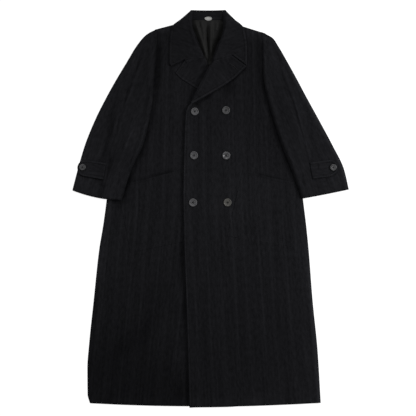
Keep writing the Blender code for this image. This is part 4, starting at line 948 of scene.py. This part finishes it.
def edges_of(plan, sec, mid, kinds):
    """The four edges of a piece as fine lines, with what kind of edge is there.

    kinds gives for in, out, first and last: the kind (or two, before and after the
    corner), whether it is topstitched, and how far the edge lifts.
    """
    lines = {"in": plan[:, 0], "out": plan[:, -1], "first": plan[0], "last": plan[-1]}
    out = []
    for key, line in lines.items():
        kind, stitched, lift = kinds[key]
        n = len(line)
        w = np.zeros((n, KINDS))
        if key in ("in", "out"):
            roll = np.clip(sec["roll_" + key], 0, 1)
            w[:, FOLD] = roll
            w[:, kind] += 1 - roll
        elif isinstance(kind, tuple):
            w[:mid + 1, kind[0]] = 1
            w[mid + 1:, kind[1]] = 1
        else:
            w[:, kind] = 1
        run = np.concatenate(([0], np.cumsum(np.linalg.norm(np.diff(line, axis=0), axis=1))))
        at_run = np.linspace(0, run[-1], max(3, int(run[-1] / 1.5)))
        fine = np.column_stack([np.interp(at_run, run, line[:, k]) for k in (0, 1)])
        weight = np.column_stack([np.interp(at_run, run, w[:, k]) for k in range(KINDS)])
        out.append((fine, weight, stitched, lift))
    return out


def from_edge(line, weight, pts):
    """Distance of points to a fine line, and what kind of edge is nearest."""
    tree = KDTree(len(line))
    for i, p in enumerate(line):
        tree.insert((p[0], p[1], 0), i)
    tree.balance()
    near = np.array([tree.find((p[0], p[1], 0))[1] for p in pts])
    best = np.full(len(pts), 1e9)
    for back in (1, 0):
        k = np.clip(near - back, 0, len(line) - 2)
        a, ab = line[k], line[k + 1] - line[k]
        t = np.clip(np.sum((pts - a) * ab, 1) / np.maximum(np.sum(ab * ab, 1), 1e-12), 0, 1)
        best = np.minimum(best, np.linalg.norm(pts - a - t[:, None] * ab, axis=1))
    return best, weight[near]


def round_over(d, radius):
    t = np.clip(d / np.maximum(radius, 1e-6), 0, 1)
    return np.sqrt(np.maximum(0, 1 - (1 - t) ** 2))


def panel(name, columns, table, on, thick, mat, step, kinds, loft=0.0, puff=0.0,
          reach=8, spread=4, sway_size=0.0, seed=0, grain=None, groove=0.6, node_names=None,
          under_seams=(), bead=0.8, rim=0.2, seam_round=4.5,
          seam_reach=20, taper=0, thin_out=1.0, sewn_reach=26, ramp=(26, 26, 26, 26), seam_air=0.0, head=0, nose_at=0.45):
    """Make one cloth piece from its sections and lay it on the pieces below it."""
    sec = sections(columns, table, step)
    plan, share, width, mid = grid_points(sec, step)
    n_r, n_c = plan.shape[:2]
    pts = plan.reshape(-1, 2)

    field = below(on)
    tight = widen(field, 1)
    ground = look_up(tight, pts)
    support = np.maximum(look_up(blur(widen(field, reach), spread), pts), ground)
    edges = []
    for line, weight, stitched, lift in edges_of(plan, sec, mid, kinds):
        d, w = from_edge(line, weight, pts)
        edges.append((d, w, stitched, lift))
    nearest = np.min([d for d, _, _, _ in edges], axis=0)

    # the cloth's own level: what is below, some air, and its folds
    resting = ground > 0.01
    low = support + np.where(resting | (support > 0.01), GAP, 0.0)
    full = np.ones(len(pts))
    air = np.zeros(len(pts))
    for (d, w, _, lift), fade in zip(edges, ramp):
        full *= 1 - (1 - w[:, FOLD]) * (1 - w[:, BUTT]) * (1 - seam_air * w[:, SEAM]) * (1 - soft(0, fade, d))
        air += puff * w[:, FOLD] * np.exp(-((d - 9) / 10) ** 2)
        air += lift * w[:, FREE] * np.exp(-(d / 12) ** 2)
    air += loft * full + sway(pts, seed, sway_size) * soft(4, 40, nearest) + creases(name, pts)
    floor_level = ground + np.where(resting, GAP, 0.0)
    low = np.maximum(low + air, floor_level)
    sewn_on = np.ones(len(pts))
    for d, w, _, _ in edges:
        sewn_on *= 1 - w[:, SEAM] * (1 - soft(0, seam_reach, d))
    low = floor_level + (low - floor_level) * sewn_on
    if head:      # the piece lies close on what is below it at its first end
        low = floor_level + (low - floor_level) * soft(0.15 * head, head, edges[2][0])
        thick = thick * (1 - 0.85 * (1 - soft(0, 12, edges[0][0])) * (1 - soft(0.3 * head, 1.3 * head, edges[2][0])))
    if taper:
        thick = thick * (0.12 + 0.88 * soft(0, taper, edges[3][0]))
        low = floor_level + (low - floor_level) * soft(-0.3 * taper, taper, edges[3][0])
    if thin_out < 1:
        keep = soft(0, 34, edges[1][0]) * (1 - edges[2][1][:, FREE] * (1 - soft(0, 26, edges[2][0])))
        thick = thick * (thin_out + (1 - thin_out) * keep)
    high = low + thick

    # turned, topstitched edges: a round bead, then the sunk line of stitches
    sewn_in = np.min([np.where(w[:, FREE] > 0.5, d, 1e3) if stitched else np.full(len(pts), 1e3)
                      for d, w, stitched, _ in edges], axis=0)
    welt = np.sin(np.pi * np.clip(sewn_in / STITCH_IN, 0, 1)) ** 0.8
    sunk = np.exp(-((sewn_in - STITCH_IN) / 1.7) ** 2)
    if taper:
        sunk = sunk * soft(0, taper, edges[3][0])
    high = high + np.minimum(bead, 0.25 * thick) * welt - np.minimum(groove, 0.2 * thick) * sunk

    # how each kind of edge ends
    top = high.copy()
    rise, dip_down = np.zeros(len(pts)), np.zeros(len(pts))
    roll_h = high - floor_level
    nose = floor_level + nose_at * roll_h
    for d, w, _, _ in edges:
        t_free = low + 0.5 * thick + (high - low - 0.5 * thick) * round_over(d, 0.5 * thick + 0.4)
        b_free = 0.5 * thick * (1 - round_over(d, 0.5 * thick + 0.2))
        t_fold = nose + (high - nose) * round_over(d, np.clip(0.6 * roll_h + 2, 5, 13))
        dip = np.maximum(floor_level, nose - (nose - floor_level) * round_over(d, 4.0))
        b_fold = dip + (low - dip) * soft(10, 18, d)
        b_fold = np.minimum(b_fold, np.maximum(t_fold - 0.4 * thick * soft(0, 3, d), floor_level)) - low
        t_seam = low + 0.25 * thick + (high - low - 0.25 * thick) * round_over(d, seam_round)
        b_seam = 0.25 * thick * (1 - round_over(d, 1.0))
        t_sewn = low + 0.1 + (high - low - 0.1) * soft(-2.0, sewn_reach, d)
        t_butt = high - 0.35 * np.exp(-(d / 1.3) ** 2)
        top = np.minimum(top, w[:, FREE] * t_free + w[:, FOLD] * t_fold + w[:, SEAM] * t_seam
                         + w[:, SEWN] * t_sewn + w[:, BUTT] * t_butt)
        turn = w[:, FREE] * b_free + w[:, FOLD] * b_fold + w[:, SEAM] * b_seam
        rise = np.maximum(rise, turn)
        dip_down = np.minimum(dip_down, turn)
    bot = low + rise + dip_down
    for path in under_seams:
        far, _, _ = path_distance(pts, path)
        bot = bot + 0.9 * np.exp(-(far / 1.6) ** 2)
    inside = np.ones((n_r, n_c), bool)
    inside[0] = inside[-1] = inside[:, 0] = inside[:, -1] = False
    inside = inside.ravel()
    bot = np.where(inside, np.minimum(bot, top - 0.15), top)

    tops[name] = stamp(plan, top.reshape(n_r, n_c))

    # one closed shell: upper and under side share the points of the rim
    index = np.arange(n_r * n_c).reshape(n_r, n_c)
    under = index.copy()
    under.ravel()[inside] = n_r * n_c + np.arange(inside.sum())
    upper = np.stack((index[:-1, :-1], index[1:, :-1], index[1:, 1:], index[:-1, 1:]), 2).reshape(-1, 4)
    lower = np.stack((under[:-1, :-1], under[:-1, 1:], under[1:, 1:], under[1:, :-1]), 2).reshape(-1, 4)
    p, q, r = pts[upper[:, 0]], pts[upper[:, 1]], pts[upper[:, 3]]
    turn = np.sum((q - p)[:, 0] * (r - p)[:, 1] - (q - p)[:, 1] * (r - p)[:, 0])
    if turn < 0:
        upper, lower = upper[:, ::-1], lower[:, ::-1]
    # a corner is two triangles from its inner point, so both sides stay apart there
    at_corner = [0, n_c - 2, (n_r - 2) * (n_c - 1), (n_r - 1) * (n_c - 1) - 1]
    tris = []
    for k in at_corner:
        for quad, inner in ((upper[k], inside[upper[k]]), (lower[k], lower[k] >= n_r * n_c)):
            a, b, c, d = np.roll(quad, -int(np.argmax(inner)))
            tris += [(a, b, c), (a, c, d)]
    quads = np.concatenate((np.delete(upper, at_corner, 0), np.delete(lower, at_corner, 0)))
    points = np.concatenate((np.column_stack((pts, top)), np.column_stack((pts, bot))[inside]))

    if grain is None:
        u = (share - 0.5) * width[:, None]
        v = np.repeat(sec["along"][:, None], n_c, 1)
        uv = np.stack((u, v), 2).reshape(-1, 2)
    else:
        uv = np.column_stack(grain(*squares(pts)))
    # painted light on the pressed edges, down to the line of stitches, and painted shade in the sunk line of stitches
    painted_edge_light_and_shade = 1 + rim * welt - 0.9 * rim * sunk
    tone = painted_light_shade_and_nap_of(name, pts) * painted_edge_light_and_shade
    uvw = np.column_stack((uv * 0.001, np.zeros(len(uv))))
    attributes = {"grain": np.concatenate((uvw, uvw[inside])),
                  "painted_light_shade_and_nap": np.concatenate((tone, tone[inside]))}
    obj = make_object(name + "_cloth", points, quads, mat, attributes, tris)
    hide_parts(*(node_names or (name,)))
    made_pieces[name] = {"plan": plan, "object": obj, "mid": mid}
    return obj


def all_kinds(in_=FREE, out=FREE, first=FREE, last=FREE, stitched=(), lift=None):
    lift = lift or {}
    return {key: (kind, 1.0 if key in stitched else 0.0, lift.get(key, 0.0))
            for key, kind in (("in", in_), ("out", out), ("first", first), ("last", last))}


# how the stripe runs on each piece, in mm across and along
def fall(gy):
    """The fronts flare below the waist, and the stripe follows less above it."""
    return np.where(gy > 210, gy - 277, (210 - 277) + 0.3 * (gy - 210))


def grain_left(gx, gy):
    return (gx - 208 - (0.05 + 0.00034 * (gx - 206)) * fall(gy)) * SQUARE, gy * SQUARE


def grain_right(gx, gy):
    return (gx - 157 + 0.095 * fall(gy)) * SQUARE, gy * SQUARE


def grain_turned(degrees, x0, y0):
    c, s = math.cos(math.radians(degrees)), math.sin(math.radians(degrees))

    def run(gx, gy):
        x, y = (gx - x0) * SQUARE, (gy - y0) * SQUARE
        return x * c - y * s, x * s + y * c
    return run


def grain_back(gx, gy):
    return (gx - 208.5) * SQUARE, gy * SQUARE


# ------------------------------------------------------- the coat, from below upwards
panel("collar_under", PLAIN, COLLAR_UNDER, (), DOUBLE, WOOL_PLAIN, 4.0, all_kinds(),
      grain=grain_turned(90, 208, 24))
panel("back", PLAIN, BACK, ("collar_under",), CLOTH, WOOL_BODY, 6.0, all_kinds(),
      grain=grain_back, under_seams=(((208.5, 36), (208.5, 402)),))
panel("collar_stand", PLAIN, COLLAR_STAND, ("collar_under",), STAND, WOOL_PLAIN, 2.2,
      all_kinds(out=SEAM), grain=grain_turned(90, 208, 15))
panel("lining_back", PLAIN, LINING_BACK, ("back", "collar_under", "collar_stand"), LINING, SATIN, 1.6,
      all_kinds(), loft=2.0, reach=4, spread=2, grain=grain_back)
panel("neck_label", PLAIN, NECK_LABEL, ("collar_stand", "lining_back", "back"), LABEL, TAPE, 1.0,
      all_kinds(), reach=3, spread=2, grain=grain_back)
panel("front_right", PLAIN, FRONT_RIGHT, ("collar_under", "back", "lining_back"), CLOTH, WOOL_BODY,
      4.2, all_kinds(first=FOLD, lift={"in": 0.5}), loft=3.0, puff=1.5, sway_size=0.7, seed=11,
      ramp=(26, 26, 26, 5),
      grain=grain_right)
panel("pocket_right", PLAIN, POCKET_RIGHT, ("front_right",), PATCH, WOOL_BODY, 3.0,
      all_kinds(in_=SEWN, out=SEWN, last=SEWN, lift={"first": 0.8}, stitched=("first",)),
      reach=3, spread=3, sway_size=0.3, seed=12, rim=0.0, sewn_reach=55, grain=grain_right)
panel("lapel_right", CORNER, LAPEL_RIGHT, ("front_right", "lining_back", "back"), DOUBLE,
      WOOL_PLAIN, 2.4, all_kinds(first=(BUTT, FREE), stitched=("out", "first"),
                                 lift={}),
      loft=0.6, seed=13, grain=grain_turned(-38, 190, 75), taper=50, thin_out=0.42)
panel("front_left", PLAIN, FRONT_LEFT,
      ("collar_under", "back", "lining_back", "front_right", "pocket_right", "lapel_right"),
      CLOTH, WOOL_BODY, 4.2, all_kinds(first=FOLD, stitched=("in",), lift={"in": 4.6}),
      loft=2.6, puff=1.5, reach=10, spread=5, sway_size=0.7, seed=14, grain=grain_left,
      groove=0.5, rim=0.32, ramp=(26, 26, 26, 5))
panel("pocket_left", PLAIN, POCKET_LEFT, ("front_left",), PATCH, WOOL_BODY, 3.0,
      all_kinds(in_=SEWN, out=SEWN, last=SEWN, lift={"first": 0.8}, stitched=("first",)),
      reach=3, spread=3, sway_size=0.3, seed=15, rim=0.0, sewn_reach=55, grain=grain_left)
panel("lapel_left", CORNER, LAPEL_LEFT,
      ("front_left", "lapel_right", "front_right", "lining_back", "back"), DOUBLE, WOOL_PLAIN,
      2.4, all_kinds(first=(BUTT, FREE), stitched=("out", "first"),
                     lift={"out": 2.4, "first": 0.4}),
      loft=1.0, seed=16, rim=0.28, grain=grain_turned(38, 225, 75), taper=45, nose_at=0.15)
panel("collar_leaf_right", CORNER, COLLAR_LEAF_RIGHT,
      ("collar_under", "back", "lining_back", "front_right", "collar_stand"), DOUBLE, WOOL_PLAIN,
      2.4, all_kinds(first=FOLD, last=(BUTT, FREE), stitched=("out", "last"),
                     lift={"out": 1.2, "last": 1.5}),
      loft=0.6, seed=17, bead=0.4, rim=0.09, nose_at=0.2, head=32, grain=grain_turned(70, 184, 40))
panel("collar_leaf_left", CORNER, COLLAR_LEAF_LEFT,
      ("collar_under", "back", "lining_back", "front_left", "front_right", "lapel_right",
       "collar_stand"), DOUBLE, WOOL_PLAIN,
      2.4, all_kinds(first=FOLD, last=(BUTT, FREE), stitched=("out", "last"),
                     lift={"out": 2.0, "last": 1.2}),
      loft=1.0, seed=18, rim=0.27, nose_at=0.2, head=32, grain=grain_turned(-70, 232, 40))
panel("sleeve_under_right", PLAIN, SLEEVE_UNDER_RIGHT, ("back", "front_right", "pocket_right"),
      CLOTH, WOOL_SLEEVE, 5.0, all_kinds())
panel("sleeve_under_left", PLAIN, SLEEVE_UNDER_LEFT, ("back", "front_left", "pocket_left"),
      CLOTH, WOOL_SLEEVE, 5.0, all_kinds())
panel("sleeve_top_right", PLAIN, SLEEVE_TOP_RIGHT,
      ("back", "front_right", "pocket_right", "sleeve_under_right"), CLOTH, WOOL_SLEEVE, 3.0,
      all_kinds(in_=SEAM, first=FOLD), loft=7.0, puff=4.5, reach=10, spread=5, sway_size=0.6,
      seed=21, seam_round=8.0, seam_reach=24, ramp=(26, 26, 26, 4))
panel("sleeve_top_left", PLAIN, SLEEVE_TOP_LEFT,
      ("back", "front_left", "pocket_left", "sleeve_under_left"), CLOTH, WOOL_SLEEVE, 3.0,
      all_kinds(in_=SEAM, first=FOLD), loft=6.0, puff=3.6, reach=10, spread=5, sway_size=0.6,
      seed=22, seam_round=3.4, seam_reach=5, ramp=(24, 26, 26, 4), seam_air=0.4, head=44)
panel("cuff_tab_right", PLAIN, CUFF_TAB_RIGHT, ("sleeve_top_right",), TAB, WOOL_PLAIN, 1.8,
      all_kinds(first=SEAM, stitched=("in", "out"), lift={"out": 1.0, "in": 0.6}), reach=6, spread=4,
      seed=23, grain=grain_turned(85, 92, 170), groove=0.4)
panel("cuff_tab_left", PLAIN, CUFF_TAB_LEFT, ("sleeve_top_left",), TAB, WOOL_PLAIN, 1.8,
      all_kinds(first=SEAM, stitched=("in", "out"), lift={"out": 1.0, "in": 0.6}), reach=6, spread=4,
      seed=24, grain=grain_turned(-85, 324, 170), groove=0.4)


# --------------------------------------------------------------------------- buttons
def button(name, gx, gy, diameter, turn, on):
    """Four-hole button: rounded edge, raised rim, dished middle, thread in its holes."""
    x0, y0 = (float(v) for v in at(gx, gy))
    r = diameter / 2
    thick = 4.0
    cx = (np.arange(N_X) + 0.5) * CELL - MAP_X
    cy = (np.arange(N_Y) + 0.5) * CELL - MAP_Y
    disc = (cx[None, :] - x0) ** 2 + (cy[:, None] - y0) ** 2 < (0.8 * r) ** 2
    base = float(tops[on][disc].max()) + 0.15
    sides = 96
    radii = np.concatenate((np.linspace(0.04, 0.70, 26), (0.73, 0.76, 0.80, 0.85, 0.90, 0.94, 0.97, 0.99, 1.0)))
    rr, aa = np.meshgrid(radii * r, np.arange(sides) * 2 * math.pi / sides, indexing="ij")
    px, py = rr * np.cos(aa), rr * np.sin(aa)
    s = rr / r
    z = 0.60 * thick + 0.40 * thick * soft(WALL_AT.get(name, 0.66), 0.80, s)
    z = z - 0.34 * thick * np.clip((s - 0.86) / 0.14, 0, 1) ** 2.2
    z = z - 0.05 * thick * np.cos(np.clip(s / 0.66, 0, 1) * math.pi / 2)
    hole_at, hole_r = 0.235 * r, 0.098 * r
    for k in range(4):
        a = math.radians(turn + 45 + 90 * k)
        dist = np.hypot(px - hole_at * math.cos(a), py - hole_at * math.sin(a))
        z = z - 0.42 * thick * (1 - soft(hole_r * 0.72, hole_r * 1.25, dist))
    under_r = np.array((1.0, 0.985, 0.95, 0.90, 0.80, 0.55, 0.25)) * r
    under_z = np.array((0.44, 0.26, 0.12, 0.03, 0.0, 0.0, 0.0)) * thick
    ring = [np.column_stack((px[i], py[i], z[i])) for i in range(len(radii))]
    circle = np.column_stack((np.cos(aa[0]), np.sin(aa[0])))
    for ur, uz in zip(under_r, under_z):
        ring.append(np.column_stack((circle * ur, np.full(sides, uz))))
    n_rings = len(ring)
    pts = np.concatenate(ring)
    quads = []
    step = np.arange(sides)
    nxt = (step + 1) % sides
    for i in range(n_rings - 1):
        quads.append(np.column_stack((i * sides + step, (i + 1) * sides + step,
                                      (i + 1) * sides + nxt, i * sides + nxt)))
    # both middles are closed with four-cornered strips across the smallest ring
    for first, flip in ((0, False), ((n_rings - 1) * sides, True)):
        for k in range(sides // 2 - 1):
            q = (first + k, first + k + 1, first + sides - 2 - k, first + sides - 1 - k)
            quads.append(np.array([q[::-1] if flip else q]))
    pts = pts + (x0, y0, base)
    mat = HORN_OF.get(name, HORN)
    obj = make_object(name + "_horn", pts, np.concatenate(quads), mat)
    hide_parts(name)
    # two crossed runs of thread, three strands each
    strands = []
    for k in (0, 1):
        a = math.radians(turn + 45 + 90 * k)
        along = np.array((math.cos(a), math.sin(a)))
        side = np.array((-along[1], along[0]))
        for off in (-0.75, 0.0, 0.75):
            t = np.linspace(-1, 1, 13)
            xy = (x0, y0) + along * (t * hole_at)[:, None] + side * off * 0.55
            rise = base + thick * 0.56 + (0.42 + 0.25 * k) * np.sqrt(np.maximum(0, 1 - t ** 6)) \
                - 0.9 * (np.abs(t) > 0.99) + 0.1 * (off == 0)
            strands.append((np.column_stack((xy, rise)), 0.36))
    sew = tubes(name + "_thread", strands, THREAD)
    return obj


def tubes(name, runs, mat, sides=6):
    """Thin closed tubes along runs of points, joined in one mesh."""
    all_pts, all_quads, start = [], [], 0
    for line, radius in runs:
        line = np.asarray(line, float)
        n = len(line)
        ahead = np.gradient(line, axis=0)
        ahead /= np.linalg.norm(ahead, axis=1)[:, None]
        side = np.cross(ahead, (0, 0, 1.0))
        flat_run = np.linalg.norm(side, axis=1) < 1e-6
        side[flat_run] = (1, 0, 0)
        side /= np.linalg.norm(side, axis=1)[:, None]
        up = np.cross(side, ahead)
        size = np.full(n, radius)
        size[0] = size[-1] = 0.45 * radius
        a = np.arange(sides) * 2 * math.pi / sides
        pts = (line[:, None] + side[:, None] * (np.cos(a)[None, :, None] * size[:, None, None])
               + up[:, None] * (np.sin(a)[None, :, None] * size[:, None, None])).reshape(-1, 3)
        quads = []
        for i in range(n - 1):
            for k in range(sides):
                m = (k + 1) % sides
                quads.append((i * sides + k, (i + 1) * sides + k, (i + 1) * sides + m, i * sides + m))
        quads.append((0, 1, 2, 3))
        quads.append((0, 3, 4, 5))
        e = (n - 1) * sides
        quads.append((e + 3, e + 2, e + 1, e + 0))
        quads.append((e + 5, e + 4, e + 3, e + 0))
        all_pts.append(pts)
        all_quads.append(np.array(quads) + start)
        start += len(pts)
    return make_object(name, np.concatenate(all_pts), np.concatenate(all_quads), mat)


for row in BUTTONS:
    button(*row)


# ------------------------------------------------------------ stitches and buttonholes
def offset_line(line, inward, distance):
    """A line moved sideways by a distance towards a point inside."""
    ahead = np.gradient(line, axis=0)
    ahead /= np.maximum(np.linalg.norm(ahead, axis=1), 1e-9)[:, None]
    side = np.column_stack((-ahead[:, 1], ahead[:, 0]))
    middle = line[len(line) // 2]
    if (inward - middle) @ side[len(line) // 2] < 0:
        side = -side
    return line + side * distance


def stitch_runs(line, name, length=3.4, pitch=5.2, size=0.42, sink=0.05):
    """Short stitches along a line, lying in the sunk seam of a piece."""
    keep = np.concatenate(([True], np.linalg.norm(np.diff(line, axis=0), axis=1) > 1e-6))
    line = line[keep]
    run = np.concatenate(([0], np.cumsum(np.linalg.norm(np.diff(line, axis=0), axis=1))))
    out = []
    for s in np.arange(1.0, run[-1] - length, pitch):
        t = s + np.linspace(0, length, 5)
        xy = np.column_stack((np.interp(t, run, line[:, 0]), np.interp(t, run, line[:, 1])))
        z = look_up(tops[name], xy)
        if z.min() < 1.0:
            continue
        z = z + sink + np.array((-0.25, 0.12, 0.2, 0.12, -0.25))
        out.append((np.column_stack((xy, z)), size))
    return out


def edge_line(name, key, lo, hi):
    plan = made_pieces[name]["plan"]
    line = {"in": plan[:, 0], "out": plan[:, -1], "first": plan[0], "last": plan[-1]}[key]
    n = len(line)
    return line[int(lo * n):int(math.ceil(hi * n))]


runs = []
for name, key, lo, hi in (
        ("front_left", "in", 0.23, 0.995), ("lapel_left", "out", 0.06, 0.93),
        ("lapel_right", "out", 0.06, 0.55), ("collar_leaf_left", "out", 0.34, 0.97),
        ("collar_leaf_right", "out", 0.34, 0.97), ("pocket_left", "first", 0.08, 0.92),
        ("pocket_right", "first", 0.08, 0.92)):
    line = edge_line(name, key, lo, hi)
    inside = made_pieces[name]["plan"].reshape(-1, 2).mean(0)
    runs += stitch_runs(offset_line(line, inside, STITCH_IN), name)
for name, key, part in (("lapel_left", "first", 1), ("lapel_right", "first", 1),
                        ("collar_leaf_left", "last", 1), ("collar_leaf_right", "last", 1)):
    plan = made_pieces[name]["plan"]
    mid = made_pieces[name]["mid"]
    line = (plan[0] if key == "first" else plan[-1])[mid:]
    inside = plan.reshape(-1, 2).mean(0)
    moved = offset_line(line, inside, STITCH_IN)
    runs += stitch_runs(moved[2:int(0.72 * len(moved))], name)
stitches = tubes("topstitching", runs, THREAD_EDGE)

tab_runs = []
for name in ("cuff_tab_right", "cuff_tab_left"):
    plan = made_pieces[name]["plan"]
    loop = np.concatenate((plan[:, 0], plan[-1], plan[::-1, -1]))
    middle = plan.reshape(-1, 2).mean(0)
    inner = middle + (loop - middle) * 0.80
    tab_runs += stitch_runs(inner, name, 2.8, 4.4, 0.36)
tab_stitches = tubes("tab_topstitching", tab_runs, THREAD_EDGE)


def buttonhole(name, x0, y0, x1, y1, on):
    """A worked buttonhole: a dense ring of stitches round a closed slit."""
    p = np.array(at(x0, y0))
    q = np.array(at(x1, y1))
    length = np.linalg.norm(q - p)
    along = (q - p) / length
    side = np.array((-along[1], along[0]))
    ring = []
    count = int(length / 0.75)
    for s in (-1, 1):
        for k in range(count):
            c = p + along * (k + 0.5) * length / count
            xy = np.array([c + side * s * w for w in (0.25, 0.8, 1.5, 2.1)])
            z = look_up(tops[on], xy) + np.array((-0.1, 0.42, 0.42, -0.1))
            ring.append((np.column_stack((xy, z)), 0.40))
    for end, way in ((p, -1), (q, 1)):
        for turn in np.linspace(-80, 80, 9):
            a = math.radians(turn)
            out = along * way * math.cos(a) + side * math.sin(a)
            xy = np.array([end + out * w for w in (0.3, 0.9, 1.6, 2.2)])
            z = look_up(tops[on], xy) + np.array((-0.1, 0.42, 0.42, -0.1))
            ring.append((np.column_stack((xy, z)), 0.40))
    made = tubes(name, ring, THREAD_HOLE)


buttonhole("buttonhole_lapel_left", 230.3, 64.0, 236.5, 69.3, "lapel_left")
buttonhole("buttonhole_lapel_right", 182.9, 66.2, 179.3, 72.3, "lapel_right")

# ------------------------------------------------------------- floor, light and camera
floor_mesh = bpy.data.meshes.new("floor")
half = 6.0
floor_mesh.from_pydata([(-half, -half, -0.0006), (half, -half, -0.0006),
                        (half, half, -0.0006), (-half, half, -0.0006)], [], [(0, 1, 2, 3)])
floor = bpy.data.objects.new("floor", floor_mesh)
bpy.context.scene.collection.objects.link(floor)
floor_mat, _, floor_shader = new_material("floor_white", (0.9, 0.9, 0.9))
floor_shader.inputs["Base Color"].default_value = (0.22, 0.22, 0.22, 1.0)
floor_shader.inputs["Roughness"].default_value = 0.9
floor_shader.inputs["Specular IOR Level"].default_value = 0.1
floor_shader.inputs["Emission Color"].default_value = (1.0, 1.0, 1.0, 1.0)
floor_shader.inputs["Emission Strength"].default_value = 0.92
floor_mesh.materials.append(floor_mat)

world = bpy.data.worlds.new("studio")
world.use_nodes = True
world.node_tree.nodes["Background"].inputs["Color"].default_value = (1.0, 1.0, 1.0, 1.0)
world.node_tree.nodes["Background"].inputs["Strength"].default_value = 0.36
bpy.context.scene.world = world


def sun_light(name, way, angle, strength):
    light = bpy.data.lights.new(name, "SUN")
    light.angle = math.radians(angle)
    light.energy = strength
    obj = bpy.data.objects.new(name, light)
    obj.location = [2.0 * v for v in way]
    obj.rotation_euler = (-Vector(way)).to_track_quat("-Z", "Y").to_euler()
    bpy.context.scene.collection.objects.link(obj)
    return obj


def softbox(name, where, size, power):
    light = bpy.data.lights.new(name, "AREA")
    light.shape = "DISK"
    light.size = size
    light.energy = power
    obj = bpy.data.objects.new(name, light)
    obj.location = where
    obj.rotation_euler = (-Vector(where)).to_track_quat("-Z", "Y").to_euler()
    bpy.context.scene.collection.objects.link(obj)
    return obj


softbox("key", (1.80, 0.45, 1.48), 0.95, 34.0)
sun_light("top", (-0.10, 1.0, 1.0), 30, 1.25)

camera_data = bpy.data.cameras.new("camera")
camera_data.sensor_width = 36.0
camera_data.lens = 100.0
FRAME_WIDTH = 416 * SQUARE * 0.001
camera = bpy.data.objects.new("camera", camera_data)
camera_x, camera_y = at(208.0, 208.0)
camera.location = (float(camera_x) * 0.001, float(camera_y) * 0.001,
                   FRAME_WIDTH * camera_data.lens / camera_data.sensor_width + 0.008)
camera.rotation_euler = (0.0, 0.0, 0.0)
bpy.context.scene.collection.objects.link(camera)
bpy.context.scene.camera = camera
bpy.context.scene.view_settings.view_transform = "Standard"
bpy.context.scene.view_settings.look = "None"
